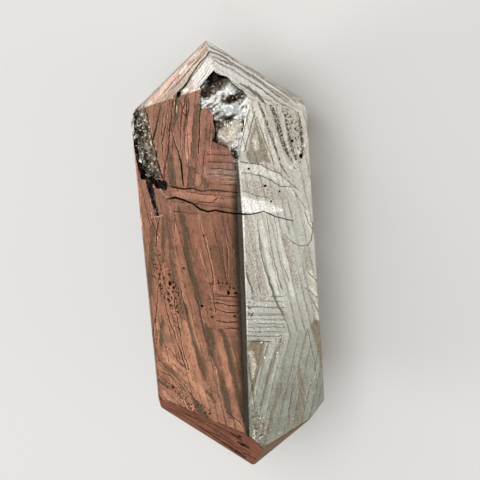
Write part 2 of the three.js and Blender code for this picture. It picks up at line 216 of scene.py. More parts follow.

# Polishing and acid brought out the pattern of the sawn faces: plates of nickel-poor iron with dark
# grooves and thin bright films between them, and fields of darker, finer grain. A band lists its bends
# in the front view, right and up from the core in millimetres, and its width at each bend.
# Some of the bands below are no pattern but painted light and shade, and say so.
FINE_BANDS = (
    # The left face, from the head down.
    ((-3.9, 17.3, 0.05), (-4.0, 16.6, 0.5), (-4.3, 15.2, 0.3), (-4.9, 13.9, 0.1)),
    ((-5.3, 12.4, 0.08), (-5.2, 10.6, 0.45), (-5.2, 9.2, 0.65), (-5.1, 8.3, 0.4)),
    ((-1.7, 16.8, 0.1), (-1.9, 16.2, 0.42), (-2.5, 14.0, 0.4), (-2.8, 11.6, 0.35), (-2.9, 10.9, 0.05)),
    ((-3.6, 10.4, 0.05), (-3.3, 10.2, 0.3), (-2.9, 9.9, 0.35), (-2.5, 9.6, 0.05)),
    ((-3.3, 9.8, 0.2), (-3.3, 9.2, 0.5), (-3.4, 8.3, 0.45), (-3.4, 7.9, 0.1)),
    ((-2.2, 9.2, 0.1), (-2.0, 8.8, 0.35), (-1.8, 8.3, 0.3)),
    ((-7.5, 4.9, 0.1), (-7.6, 4.0, 0.4), (-8.1, 0.5, 0.45), (-8.5, -2.6, 0.45), (-8.6, -3.3, 0.1)),
    ((-6.4, 5.0, 0.1), (-6.5, 4.2, 0.4), (-6.7, 2.2, 0.3), (-6.9, 0.4, 0.08)),
    ((-6.1, 5.3, 0.12), (-6.0, 4.0, 0.26), (-5.9, 2.8, 0.22), (-5.6, 1.0, 0.16)),
    ((-6.0, 1.9, 0.08), (-6.0, 1.0, 0.35), (-5.9, -0.9, 0.3), (-5.6, -2.6, 0.2), (-5.2, -5.4, 0.1)),
    ((-4.8, 6.1, 0.1), (-4.6, 5.2, 0.45), (-4.3, 4.0, 0.5), (-4.3, 1.3, 0.5),
     (-4.1, -0.5, 0.56), (-3.7, -1.8, 0.62), (-3.5, -3.4, 0.62), (-3.4, -4.3, 0.2)),
    ((-5.1, -3.8, 0.16), (-4.6, -6.8, 0.26), (-4.4, -8.2, 0.34), (-4.0, -9.5, 0.4),
     (-3.7, -11.3, 0.36), (-3.4, -12.3, 0.1)),
    ((-3.1, -5.9, 0.15), (-2.9, -6.6, 0.75), (-2.7, -7.9, 0.85), (-2.6, -8.9, 0.3), (-2.5, -9.3, 0.05)),
    ((-2.9, -8.6, 0.2), (-2.2, -10.7, 0.26), (-2.0, -11.8, 0.2)),
    ((-2.1, -11.1, 0.12), (-1.9, -12.0, 0.4), (-1.7, -13.4, 0.6), (-1.5, -14.8, 0.7), (-1.4, -15.6, 0.3)),
    ((-1.5, -6.6, 0.3), (-1.2, -7.4, 0.55), (-0.9, -9.5, 0.5), (-0.5, -12.7, 0.44), (0.0, -15.9, 0.2)),
    ((-7.5, -5.2, 0.1), (-7.5, -5.9, 0.35), (-7.8, -8.0, 0.4), (-7.9, -8.8, 0.1)),
    ((-8.3, -10.0, 0.1), (-7.6, -10.7, 0.3), (-6.9, -11.4, 0.32), (-6.2, -12.2, 0.1)),
    ((-8.5, -12.1, 0.1), (-8.0, -12.6, 0.3), (-7.4, -13.1, 0.1)),
    ((-5.2, -13.9, 0.1), (-4.8, -14.5, 0.62), (-4.3, -15.3, 0.75), (-3.8, -16.1, 0.5), (-3.5, -16.6, 0.1)),
    ((-3.6, -13.0, 0.1), (-3.3, -13.5, 0.32), (-2.8, -14.2, 0.1)),
    # The right face, from the head down.
    ((4.5, -8.1, 0.3), (4.3, -8.8, 0.45), (3.6, -10.1, 0.5), (3.0, -11.3, 0.48), (1.9, -14.7, 0.4),
     (1.7, -15.6, 0.1)),
    ((4.2, -12.9, 0.1), (4.0, -13.8, 0.4), (3.2, -15.4, 0.55), (2.4, -17.6, 0.6), (2.1, -18.6, 0.2)),
    ((6.0, -11.4, 0.1), (6.1, -12.7, 0.45), (6.2, -14.8, 0.9), (5.8, -17.2, 1.2), (5.5, -18.6, 0.9)),
    ((4.8, -16.0, 0.1), (4.7, -17.0, 0.35), (4.4, -18.6, 0.3), (4.3, -19.2, 0.1)),
)
DARK_BANDS = (
    ((4.0, 16.4, 0.12), (4.6, 14.1, 0.26), (5.2, 11.9, 0.2), (5.9, 9.2, 0.16), (6.6, 8.0, 0.05)),
    ((5.2, 15.9, 0.3), (5.7, 13.9, 0.46), (6.2, 11.4, 0.4), (7.0, 9.5, 0.1)),
    ((6.4, 15.2, 0.1), (6.7, 13.5, 0.3), (6.9, 11.6, 0.34), (7.2, 10.2, 0.2)),
    ((7.9, 14.6, 0.1), (8.1, 12.8, 0.3), (8.2, 11.3, 0.3), (8.1, 9.8, 0.1)),
)
THIN_LINES = (
    # The left face.
    ((-7.2, 16.7, 0.1), (-6.8, 12.7, 0.2)),
    ((-5.7, 16.7, 0.06), (-6.0, 15.2, 0.14), (-6.8, 12.7, 0.22)),
    ((-5.1, 17.0, 0.06), (-5.9, 13.5, 0.1)),
    ((-4.3, 17.0, 0.1), (-5.0, 14.0, 0.14), (-5.3, 12.0, 0.13), (-5.7, 10.4, 0.12), (-6.0, 9.1, 0.1)),
    ((-3.1, 17.4, 0.1), (-3.3, 16.4, 0.14), (-3.6, 16.0, 0.13), (-4.0, 13.0, 0.08)),
    ((-3.0, 16.9, 0.1), (-3.7, 12.0, 0.08), (-3.5, 10.5, 0.06)),
    ((-1.7, 16.4, 0.08), (-2.3, 11.5, 0.14)),
    ((-2.8, 6.7, 0.08), (-1.3, 6.7, 0.07), (-0.8, 7.2, 0.07), (0.9, 7.1, 0.05)),
    ((-0.9, 14.7, 0.05), (-1.2, 12.0, 0.08), (-1.3, 11.0, 0.05)),
    ((-6.8, 5.1, 0.08), (-7.2, 3.8, 0.14), (-7.5, 1.7, 0.1)),
    ((-2.1, -1.8, 0.1), (-2.0, -4.6, 0.12)),
    ((-5.3, -2.4, 0.08), (-4.8, -5.5, 0.1)),
    ((-1.9, -3.0, 0.06), (-0.4, -2.9, 0.1), (0.6, -2.9, 0.08)),
    ((-2.0, -3.6, 0.06), (-0.6, -3.8, 0.12), (0.5, -3.8, 0.08)),
    ((-2.0, -4.3, 0.06), (-0.7, -4.6, 0.12), (0.5, -4.5, 0.08)),
    ((-2.0, -5.5, 0.08), (-0.8, -5.6, 0.12), (0.4, -5.4, 0.06)),
    ((-1.9, -6.4, 0.06), (-0.5, -6.2, 0.1), (0.4, -6.3, 0.06)),
    ((-7.1, -3.8, 0.1), (-6.9, -5.1, 0.14), (-6.5, -6.7, 0.14), (-6.1, -8.3, 0.1), (-5.5, -10.8, 0.12)),
    ((-6.1, -3.5, 0.08), (-6.0, -5.1, 0.12), (-5.6, -9.3, 0.1), (-5.2, -10.9, 0.16)),
    ((-3.7, -3.4, 0.14), (-3.3, -6.5, 0.14)),
    ((-7.5, -8.4, 0.06), (-6.6, -9.5, 0.1), (-5.8, -10.6, 0.12)),
    ((-8.0, -3.9, 0.1), (-8.2, -6.0, 0.12), (-8.3, -8.4, 0.1)),
    ((-6.6, -13.1, 0.1), (-6.0, -14.8, 0.12), (-5.4, -16.2, 0.08)),
    ((-5.9, -12.5, 0.08), (-4.8, -14.3, 0.12)),
    ((-8.8, -13.6, 0.12), (-8.1, -14.6, 0.18), (-5.6, -16.7, 0.12)),
    ((-3.0, 5.8, 0.06), (-2.5, 2.9, 0.1), (-2.0, 0.2, 0.08), (-1.9, -1.6, 0.06)),
    ((-0.5, 4.6, 0.05), (-0.3, 2.0, 0.12), (-0.4, -0.8, 0.06)),
    ((-3.6, 16.9, 0.1), (-3.6, 15.8, 0.12), (-3.2, 15.2, 0.14), (-2.9, 16.1, 0.12), (-2.8, 17.1, 0.08)),
    ((-4.9, 16.6, 0.05), (-5.3, 14.6, 0.1), (-5.9, 12.8, 0.12), (-5.9, 11.2, 0.1), (-5.5, 9.3, 0.06)),
    ((-2.8, 16.6, 0.05), (-3.2, 14.6, 0.08), (-3.3, 11.2, 0.08), (-3.6, 8.7, 0.05)),
    ((-4.0, 14.9, 0.04), (-4.0, 12.7, 0.07), (-4.2, 10.5, 0.04)),
    ((-1.9, 11.4, 0.08), (-1.9, 9.3, 0.06)),
    ((-8.6, 8.1, 0.05), (-8.8, 6.4, 0.08), (-8.8, 4.8, 0.06), (-9.0, 3.0, 0.08)),
    ((-7.7, 6.9, 0.06), (-7.7, 4.8, 0.12), (-7.0, 2.9, 0.1)),
    ((-5.1, 7.0, 0.05), (-5.2, 5.3, 0.08), (-5.4, 2.9, 0.06)),
    ((-7.5, -1.3, 0.06), (-7.9, -4.1, 0.1), (-8.7, -7.5, 0.1), (-9.0, -9.6, 0.06)),
    ((-3.4, 2.4, 0.05), (-2.9, 0.4, 0.08), (-2.3, -1.7, 0.08), (-2.2, -2.9, 0.05)),
    ((-2.4, 3.1, 0.05), (-2.1, 1.1, 0.08), (-2.0, -0.8, 0.08), (-1.9, -2.3, 0.06)),
    ((-0.8, 3.4, 0.04), (-0.7, 0.5, 0.06), (-0.6, -1.0, 0.05)),
    ((0.3, 2.6, 0.05), (0.2, -0.3, 0.05)),
    ((-5.2, -0.3, 0.05), (-5.0, -1.7, 0.09), (-4.7, -3.0, 0.05)),
    ((-8.5, -11.1, 0.06), (-7.3, -11.7, 0.1), (-6.2, -13.1, 0.06)),
    ((-8.5, -12.2, 0.1), (-7.6, -13.2, 0.05)),
    ((-6.3, -12.9, 0.06), (-5.3, -15.2, 0.1)),
    ((-2.5, -11.3, 0.05), (-2.3, -13.5, 0.08)),
    ((-2.0, -14.9, 0.06), (-0.5, -16.1, 0.1), (0.0, -17.1, 0.06)),
    ((-2.8, -7.8, 0.05), (-2.6, -9.9, 0.08), (-2.5, -11.1, 0.05)),
    # The right face.
    ((3.0, 15.6, 0.12), (1.8, 12.2, 0.1)),
    ((3.6, 15.4, 0.1), (2.2, 11.7, 0.14)),
    ((3.7, 14.8, 0.08), (4.4, 12.1, 0.14), (5.1, 9.8, 0.08)),
    ((1.7, 10.8, 0.1), (3.8, 10.0, 0.12), (5.6, 8.6, 0.1), (7.5, 6.5, 0.06)),
    ((1.7, 9.7, 0.06), (3.8, 8.9, 0.1), (5.5, 7.4, 0.1), (6.7, 7.1, 0.08), (8.0, 4.5, 0.06)),
    ((1.5, 7.9, 0.06), (3.2, 7.0, 0.08), (4.8, 6.2, 0.05)),
    ((2.9, 4.6, 0.06), (3.1, 0.7, 0.14), (3.7, -2.1, 0.18), (4.3, -4.5, 0.22), (4.9, -6.1, 0.18),
     (5.1, -6.8, 0.05)),
    ((3.9, 4.9, 0.07), (4.2, 1.1, 0.07), (4.6, -1.6, 0.14), (4.9, -3.2, 0.14)),
    ((4.7, 4.7, 0.06), (4.9, 2.0, 0.05)),
    ((5.2, -0.5, 0.06), (5.7, -2.6, 0.09)),
    ((5.5, 2.6, 0.06), (6.2, 1.5, 0.07), (7.1, 0.8, 0.09), (7.9, 0.6, 0.12), (8.4, 1.1, 0.14),
     (8.7, 2.9, 0.12)),
    ((1.0, -3.9, 0.08), (5.1, -5.2, 0.05)),
    ((0.9, -4.8, 0.08), (5.0, -6.0, 0.06)),
    ((0.9, -5.7, 0.06), (4.8, -6.9, 0.08)),
    ((0.9, -6.5, 0.08), (4.6, -7.7, 0.06)),
    ((0.9, -7.5, 0.14), (3.3, -8.3, 0.1)),
    ((1.3, 0.6, 0.05), (1.5, -0.8, 0.16), (1.9, -2.6, 0.1)),
    ((2.4, -1.0, 0.08), (2.7, -2.9, 0.12)),
    ((7.3, -8.3, 0.1), (7.8, -11.8, 0.1), (7.9, -14.1, 0.06)),
    ((7.9, 4.1, 0.1), (8.6, 1.9, 0.1)),
    ((7.8, -2.2, 0.1), (9.0, -3.9, 0.1)),
    ((7.4, -3.8, 0.1), (8.9, -5.5, 0.12)),
    ((7.9, -5.0, 0.1), (8.6, -6.7, 0.12)),
    ((5.6, -11.5, 0.06), (5.2, -14.0, 0.09), (4.5, -17.4, 0.06)),
    ((3.0, -8.5, 0.1), (2.3, -10.2, 0.12), (1.5, -11.7, 0.12), (1.1, -13.0, 0.08)),
    ((0.8, -9.5, 0.08), (0.9, -10.8, 0.12), (1.1, -13.0, 0.1), (1.2, -15.0, 0.05)),
    ((4.4, -8.6, 0.12), (4.1, -10.0, 0.05)),
)
HEAD_LINES = (
    ((-0.3, 20.9, 0.05), (-1.1, 20.2, 0.07), (-2.0, 19.3, 0.09), (-2.9, 18.5, 0.12), (-3.8, 17.7, 0.2),
     (-4.2, 17.3, 0.3)),
    ((-0.6, 21.4, 0.06), (-1.4, 20.7, 0.1), (-2.5, 19.6, 0.12), (-3.5, 18.7, 0.12), (-4.8, 17.7, 0.08)),
    ((-0.6, 21.6, 0.06), (-2.4, 20.1, 0.08), (-4.0, 18.8, 0.1), (-5.3, 17.5, 0.1)),
    ((-0.9, 21.0, 0.06), (-2.2, 19.9, 0.1), (-3.8, 18.4, 0.1), (-4.9, 17.3, 0.06)),
    ((-0.1, 20.3, 0.05), (-1.0, 19.3, 0.08), (-1.8, 18.4, 0.08)),
    ((-3.8, 20.0, 0.1), (-4.8, 19.0, 0.22), (-5.8, 18.0, 0.15)),
    ((-0.4, 21.2, 0.12), (0.8, 20.5, 0.18), (2.1, 19.5, 0.14), (3.6, 18.4, 0.16), (5.4, 17.0, 0.1),
     (7.2, 15.6, 0.08)),
    ((-0.2, 20.7, 0.1), (1.3, 19.9, 0.14), (2.5, 19.1, 0.1), (4.6, 17.5, 0.14), (6.2, 16.1, 0.1)),
    ((-0.1, 20.4, 0.08), (1.5, 19.4, 0.1), (3.1, 18.2, 0.08), (4.5, 17.1, 0.12), (5.7, 16.0, 0.1)),
    ((-0.5, 21.6, 0.08), (1.1, 20.6, 0.1), (3.1, 19.2, 0.08), (5.4, 17.4, 0.1), (8.0, 15.2, 0.08)),
    ((2.2, 18.1, 0.08), (3.2, 17.5, 0.24), (4.3, 16.5, 0.3), (4.8, 15.4, 0.2)),
)
PALE_PLATES = (
    # The left face.
    ((-6.5, 16.5, 0.9), (-6.7, 14.6, 0.6), (-6.8, 13.2, 0.1)),
    ((-4.9, 7.4, 0.7), (-2.1, 7.2, 0.8), (1.2, 6.8, 0.8)),
    ((-5.4, 16.5, 0.4), (-6.3, 12.0, 0.5), (-6.0, 9.4, 0.3)),
    ((-4.8, 12.6, 0.1), (-4.7, 10.5, 0.4), (-4.5, 8.6, 0.5)),
    ((-2.9, 15.4, 0.5), (-3.3, 12.6, 0.75), (-3.4, 11.0, 0.6)),
    ((-2.6, 9.7, 0.3), (-2.7, 8.6, 0.6)),
    ((-5.4, 4.4, 0.6), (-5.2, 1.0, 0.9), (-4.8, -3.0, 0.9), (-4.4, -6.0, 0.7), (-3.6, -9.4, 0.7)),
    ((-6.9, -0.5, 0.8), (-6.6, -3.5, 0.9), (-6.2, -5.2, 0.4)),
    ((-5.2, -6.0, 0.6), (-4.9, -8.2, 0.9), (-4.6, -10.6, 0.8)),
    ((-7.8, -9.3, 0.5), (-6.6, -10.6, 0.9), (-5.2, -12.0, 0.9), (-3.6, -13.8, 0.6)),
    ((-8.9, -12.9, 0.6), (-8.2, -13.8, 0.9), (-6.9, -15.6, 0.7)),
    ((-1.9, -8.0, 0.4), (-1.5, -10.2, 0.6), (-1.1, -13.0, 0.5)),
    # The right face.
    ((3.8, -8.0, 0.9), (2.2, -11.6, 0.75), (1.1, -14.1, 0.5)),
    ((4.9, -8.4, 0.8), (3.7, -11.6, 0.7), (2.5, -15.2, 0.6), (2.0, -17.4, 0.3)),
    ((3.7, 16.0, 0.5), (4.3, 13.3, 0.6), (5.0, 10.9, 0.7), (5.6, 9.5, 0.8)),
    ((3.7, 16.2, 0.5), (2.6, 14.0, 0.45), (2.0, 12.0, 0.5)),
    ((3.3, 16.5, 0.4), (2.4, 14.4, 0.5), (1.7, 12.4, 0.5)),
    ((4.0, 15.6, 0.4), (4.8, 12.4, 0.5), (5.5, 9.8, 0.4)),
    ((3.3, 4.4, 0.5), (3.8, 0.6, 0.65), (4.6, -3.4, 0.6), (5.1, -5.6, 0.3)),
    ((4.9, 3.6, 0.4), (5.5, -0.5, 0.5), (6.0, -4.1, 0.5)),
    ((5.1, 13.6, 0.2), (5.8, 11.1, 0.3), (6.4, 9.4, 0.3)),
)
LEVEL_PLATES = (
    ((1.6, 10.3, 0.85), (3.8, 9.5, 0.85), (5.7, 8.0, 0.8), (7.0, 6.4, 0.5)),
)
BRIGHT_PLATES = (
    ((1.9, 16.1, 0.3), (2.6, 16.4, 0.5), (3.1, 16.7, 0.3)),
    ((2.9, 16.2, 0.34), (2.2, 14.2, 0.5), (1.65, 12.4, 0.4)),
    ((1.5, 6.5, 1.5), (2.6, 6.1, 1.4), (3.6, 5.75, 1.2), (4.6, 5.3, 0.8), (5.5, 4.9, 0.3)),
)
MOTTLED_FIELDS = (
    ((6.6, 15.2, 0.6), (7.3, 13.6, 1.0), (7.7, 12.0, 1.3), (7.6, 10.2, 0.8)),
    ((1.7, 8.4, 1.3), (3.7, 7.6, 1.2), (5.7, 6.3, 0.8)),
    ((1.9, 4.8, 1.2), (2.0, 1.7, 1.5), (2.4, -1.0, 1.7), (2.8, -3.2, 1.5)),
    ((7.7, 0.2, 0.6), (8.0, -1.6, 1.0)),
    ((5.6, 1.6, 0.9), (6.3, -1.0, 0.8), (6.6, -3.4, 0.4)),
)
DARK_FIELDS = (
    ((3.6, 14.6, 0.1), (3.5, 13.2, 0.9), (3.5, 11.9, 1.7), (3.5, 11.3, 2.2)),
    ((2.7, 11.3, 0.8), (4.0, 10.8, 0.8), (4.6, 10.2, 0.4)),
    ((1.2, -15.4, 0.4), (1.3, -17.4, 1.6), (1.5, -19.4, 1.4)),
)
WARM_WEDGES = (
    ((1.8, -8.5, 1.9), (1.6, -9.8, 1.5), (1.3, -11.2, 0.9), (1.1, -12.8, 0.4)),
    ((8.2, -8.0, 1.0), (8.6, -10.5, 1.0), (8.7, -12.6, 0.6)),
)
# Cream flecks, and along the right edge painted pinkish-beige reflections.
CREAM_FLECKS_AND_REFLECTIONS = (
    ((3.5, 13.3, 0.2), (3.3, 12.5, 0.6), (3.4, 11.8, 0.5)),
    ((1.3, -9.2, 0.3), (1.4, -10.4, 0.6), (1.2, -11.6, 0.3)),
    ((0.9, -8.8, 0.4), (1.4, -9.0, 0.3)),
    ((8.0, 3.8, 0.5), (8.5, 2.1, 0.6)),
    ((8.1, -2.5, 0.7), (8.9, -3.7, 0.7)),
    ((7.9, -4.1, 0.6), (8.8, -5.3, 0.6)),
    ((8.1, -5.3, 0.5), (8.5, -6.5, 0.5)),
    ((8.3, -6.6, 0.4), (8.6, -7.5, 0.4)),
)
# Painted highlight along the rounded edge between the left face and the head.
HEAD_EDGE_HIGHLIGHT = (
    ((-7.8, 16.4, 0.3), (-5.7, 17.0, 0.4), (-4.1, 17.5, 0.3), (-2.6, 17.9, 0.4), (-1.7, 18.2, 0.3)),
)
FOOT_EDGE = (
    ((-8.4, -14.1, 0.06), (-7.0, -14.7, 0.12), (-5.5, -15.3, 0.16), (-4.0, -15.9, 0.12), (-2.5, -16.5, 0.2),
     (-1.0, -17.0, 0.16), (0.1, -17.4, 0.12)),
)
HEAD_SILVER = (
    ((-0.2, 20.2, 0.7), (-0.8, 19.4, 1.2), (-1.5, 18.6, 1.1), (-2.3, 17.8, 0.8)),
    ((-0.3, 20.9, 0.25), (-1.2, 20.0, 0.3), (-2.3, 18.9, 0.35)),
    ((-0.2, 20.9, 0.3), (1.5, 19.8, 0.34), (3.4, 18.5, 0.34), (5.3, 16.9, 0.3)),
    ((0.1, 20.5, 0.25), (1.7, 19.5, 0.3), (3.4, 18.2, 0.34), (4.9, 17.0, 0.3)),
    ((0.0, 20.0, 0.7), (1.6, 18.9, 0.9), (2.9, 17.9, 0.8), (4.2, 16.8, 0.5)),
)
# Painted reflection: a rose glow of warm surroundings on the head's faces.
HEAD_ROSE_REFLECTION = (
    ((-1.2, 21.4, 0.9), (-2.8, 20.0, 1.5), (-4.6, 18.5, 1.6), (-6.3, 17.1, 1.6)),
)
WHITE_FLECKS = (
    ((-3.5, 19.3, 0.2), (-2.8, 19.8, 0.34)),
    ((-2.3, 20.5, 0.12), (-1.5, 21.1, 0.24)),
    ((-7.3, 16.2, 0.2), (-6.6, 16.8, 0.26)),
    ((-0.4, 21.9, 0.24), (-0.2, 21.7, 0.2)),
    ((-3.2, 17.8, 0.35), (-2.9, 17.9, 0.3)),
    ((-4.2, 16.7, 0.1), (-4.1, 16.2, 0.28), (-4.1, 15.7, 0.1)),
    ((-1.5, 16.7, 0.6), (-1.2, 16.3, 0.4)),
    ((-4.7, 13.7, 0.12), (-4.5, 12.5, 0.12), (-4.2, 11.3, 0.04)),
    ((-5.7, 5.4, 0.05), (-5.6, 5.9, 0.1), (-5.8, 6.4, 0.05)),
    ((-7.4, 5.1, 0.06), (-6.9, 5.2, 0.16), (-6.5, 5.3, 0.06)),
    ((-6.5, 8.0, 0.08), (-6.2, 7.4, 0.12), (-5.8, 7.2, 0.05)),
    ((7.5, 10.7, 0.14), (7.7, 10.4, 0.22)),
    ((8.2, 11.1, 0.14), (8.3, 10.9, 0.2)),
    ((6.7, 9.2, 0.14), (6.8, 9.0, 0.2)),
    ((7.3, 9.9, 0.1), (7.2, 9.5, 0.1)),
    ((1.0, -17.2, 0.1), (0.7, -18.2, 0.26), (1.1, -18.9, 0.1)),
)
# Painted highlights along the lips of the two cracks across the front.
CRACK_LIP_HIGHLIGHTS = (
    ((-5.7, 8.0, 0.05), (-4.9, 7.95, 0.08), (-4.1, 7.75, 0.08), (-3.2, 7.85, 0.06), (-2.3, 7.55, 0.06),
     (-1.3, 7.75, 0.05), (1.3, 7.45, 0.06)),
    ((-4.2, 6.65, 0.05), (-3.4, 6.35, 0.1), (-2.7, 5.75, 0.12), (-1.9, 5.55, 0.1), (-1.1, 5.65, 0.1),
     (0.1, 5.45, 0.12), (1.3, 5.35, 0.14), (2.4, 5.05, 0.08)),
)
BRUSHED_PATCH = (
    ((-1.2, 9.7, 1.0), (0.2, 9.6, 1.6), (0.9, 9.5, 1.6)),
)
OLIVE_PLATES = (
    ((-7.1, 16.6, 1.3), (-6.9, 14.4, 0.9), (-6.7, 12.8, 0.2)),
    ((-5.5, 17.0, 0.7), (-5.9, 14.2, 0.7), (-6.2, 11.0, 0.4)),
    ((-4.3, 11.6, 0.2), (-4.4, 9.8, 0.7), (-4.5, 8.2, 0.5)),
)
# Painted shade: a darker strip along the left edge, which dims the highlight there.
LEFT_RIM_PAINTED_SHADE = (
    ((-8.8, 4.0, 0.3), (-8.9, -2.0, 0.6), (-9.0, -9.0, 0.9), (-9.0, -14.6, 1.0)),
)
# Painted shade: broad darker zones of the left face, deepest along the ridge.
LEFT_PAINTED_SHADE = (
    ((-0.4, 6.2, 1.6), (-0.7, 2.0, 2.4), (-0.5, -1.2, 2.2)),
    ((-0.4, -7.0, 0.8), (0.0, -12.0, 1.2), (0.0, -16.0, 1.0)),
    ((-0.8, 14.6, 0.5), (-1.0, 13.2, 0.9), (0.1, 11.6, 0.8)),
)
# Painted shade: a dark band on the left face along the front ridge.
RIDGE_PAINTED_SHADE = (
    ((1.45, 11.0, 0.5), (1.25, 8.0, 1.0), (1.15, 5.5, 1.3), (1.0, 1.9, 1.5), (0.8, -3.2, 1.4),
     (0.6, -7.5, 1.2), (0.2, -15.4, 0.9), (0.2, -17.4, 0.5)),
)
# Painted shade: the dark reflection on the front ridge's narrow flat.
RIDGE_PAINTED_DARK = (
    ((1.25, 11.2, 0.5), (1.2, 5.5, 0.6), (1.05, 1.9, 0.64), (0.85, -3.2, 0.64), (0.6, -7.5, 0.64),
     (0.2, -15.4, 0.6), (0.2, -18.0, 0.4)),
)
# Painted highlight: a thin bright line along the front ridge, on the right face.
RIDGE_PAINTED_HIGHLIGHT = (
    ((1.62, 9.8, 0.16), (1.56, 5.5, 0.18), (1.42, 1.9, 0.16), (1.22, -3.2, 0.14), (0.98, -7.5, 0.08)),
)
FOOT_LINES = (
    ((-8.4, -14.6, 0.05), (-7.1, -15.4, 0.1), (-5.6, -16.3, 0.14), (-4.1, -17.2, 0.1), (-2.6, -18.4, 0.16),
     (-1.2, -19.7, 0.14), (0.3, -21.3, 0.2)),
    ((-7.7, -15.6, 0.06), (-6.2, -16.8, 0.14), (-4.7, -18.1, 0.2), (-3.2, -19.5, 0.26), (-1.8, -20.9, 0.4),
     (-0.3, -22.3, 0.5)),
    ((-6.6, -15.8, 0.05), (-4.6, -16.4, 0.12), (-3.1, -16.9, 0.16), (-1.8, -17.5, 0.14), (-0.6, -18.8, 0.16),
     (0.5, -20.1, 0.1)),
    ((-6.4, -16.1, 0.05), (-4.4, -17.0, 0.1), (-2.9, -17.8, 0.14), (-1.9, -18.7, 0.06)),
    ((-5.2, -17.7, 0.05), (-3.6, -18.6, 0.12), (-2.2, -19.6, 0.14), (-1.0, -20.6, 0.06)),
    ((-3.0, -18.7, 0.05), (-1.8, -19.6, 0.1), (-0.6, -20.9, 0.12), (0.2, -21.8, 0.05)),
    ((-1.5, -17.6, 0.3), (-0.8, -18.3, 0.36), (-0.4, -18.7, 0.1)),
    ((-0.8, -19.3, 0.4), (0.0, -19.9, 0.5), (0.3, -20.3, 0.1)),
)
FOOT_RIGHT_LINES = (
    ((1.5, -21.8, 0.2), (3.0, -21.2, 0.1), (4.7, -20.2, 0.3), (6.4, -19.2, 0.1)),
)
# Fields of painted glints: small white sparkles of caught light.
PAINTED_GLINT_FIELDS = (
    ((1.2, -14.6, 1.0), (1.4, -17.0, 2.0), (1.8, -19.4, 2.0)),
    ((2.8, -5.0, 3.0), (3.4, -9.0, 3.0)),
    ((7.2, 11.2, 1.2), (7.6, 9.6, 1.2)),
    ((7.4, -13.8, 1.0), (7.2, -14.8, 1.0)),
    ((4.8, -17.0, 1.0), (3.8, -19.0, 1.4)),
)
HEAD_SPECKS = (
    ((-0.9, 21.7, 0.3), (-3.6, 20.0, 0.7), (-6.4, 17.6, 0.8)),
    ((0.4, 21.6, 0.2), (3.6, 19.6, 0.6), (6.6, 17.2, 0.8), (8.2, 15.6, 0.8)),
    ((3.4, 17.4, 1.0), (5.4, 15.8, 1.2), (7.0, 15.2, 0.8)),
)
PITTED_FIELDS = (
    ((-7.5, 1.4, 0.8), (-7.1, -0.8, 2.4), (-6.4, -2.6, 2.4), (-6.0, -4.4, 1.4), (-5.8, -7.0, 0.6)),
    ((-2.0, -1.5, 0.9), (-0.8, -1.8, 1.6), (0.6, -2.3, 1.2)),
    ((-2.6, -3.0, 0.6), (-2.4, -4.2, 0.8), (-2.2, -5.4, 0.5)),
    ((-7.4, -12.6, 1.0), (-5.6, -14.6, 1.2), (-3.2, -15.6, 1.2)),
    ((1.6, -3.2, 0.6), (1.7, -5.2, 1.4), (1.8, -7.2, 1.0)),
    ((6.6, 15.0, 1.0), (7.4, 13.4, 1.6), (7.6, 11.0, 1.8), (7.4, 9.0, 1.0)),
    ((1.0, -14.8, 0.6), (1.3, -17.4, 1.8), (1.4, -19.6, 1.8)),
)


class Wire:
    """A socket in a shader of the iron. A sum on it adds the nodes that work it out."""

    tree = None

    def __init__(self, socket):
        self.socket = socket

    @classmethod
    def node(cls, kind, settings, inputs, output=0):
        """A new node of this kind with these settings, and these values or wires at its sockets."""
        node = cls.tree.nodes.new(kind)
        for name, value in settings.items():
            setattr(node, name, value)
        for name, value in inputs.items():
            if isinstance(value, cls):
                cls.tree.links.new(value.socket, node.inputs[name])
            else:
                node.inputs[name].default_value = value
        return cls(node.outputs[output]) if node.outputs else node

    def other(self, output):
        """Another output of the node that this wire comes from."""
        return Wire(self.socket.node.outputs[output])

    def math(self, operation, *values):
        return Wire.node("ShaderNodeMath", {"operation": operation}, dict(enumerate((self, *values))))

    def __add__(self, value):
        return self.math("ADD", value)

    __radd__ = __add__

    def __mul__(self, value):
        return self.math("MULTIPLY", value)

    __rmul__ = __mul__

    def __sub__(self, value):
        return self.math("SUBTRACT", value)

    def __rsub__(self, value):
        return Wire.node("ShaderNodeMath", {"operation": "SUBTRACT"}, {0: value, 1: self})

    def most(self, value):
        return self.math("MAXIMUM", value)

    def least(self, value):
        return self.math("MINIMUM", value)

    def rise(self, low, high):
        """0 up to the low value and 1 from the high one, with a smooth way between."""
        settings = {"interpolation_type": "SMOOTHSTEP"}
        return Wire.node("ShaderNodeMapRange", settings, {"Value": self, "From Min": low, "From Max": high})


def vectors(operation, *values, output="Vector"):
    return Wire.node("ShaderNodeVectorMath", {"operation": operation}, dict(enumerate(values)), output)


def dot(vector, way):
    return vectors("DOT_PRODUCT", vector, way, output="Value")


def scaled(vector, size):
    return Wire.node("ShaderNodeVectorMath", {"operation": "SCALE"}, {0: vector, "Scale": size})


def together(right, up, out):
    return Wire.node("ShaderNodeCombineXYZ", {}, {"X": right, "Y": up, "Z": out})


def grain(place, scale, detail=2.0, roughness=0.5):
    """Noise from 0 to 1, with this many lumps to a millimetre."""
    inputs = {"Vector": place, "Scale": scale, "Detail": detail, "Roughness": roughness}
    return Wire.node("ShaderNodeTexNoise", {}, inputs)


def colour(code):
    """A colour written as on a screen, in the shader's own values."""
    parts = (int(code[at:at + 2], 16) / 255 for at in (1, 3, 5))
    return (*(((part + 0.055) / 1.055) ** 2.4 if part > 0.04 else part / 12.92 for part in parts), 1.0)


def mixed(share, first, second):
    """The first colour, the second, or between them as the share goes from 0 to 1."""
    first, second = (colour(one) if isinstance(one, str) else one for one in (first, second))
    return Wire.node("ShaderNodeMix", {"data_type": "RGBA"}, {0: share, 6: first, 7: second}, 2)


def blended(share, first, second):
    """The same for plain numbers."""
    return Wire.node("ShaderNodeMix", {}, {0: share, 2: first, 3: second})


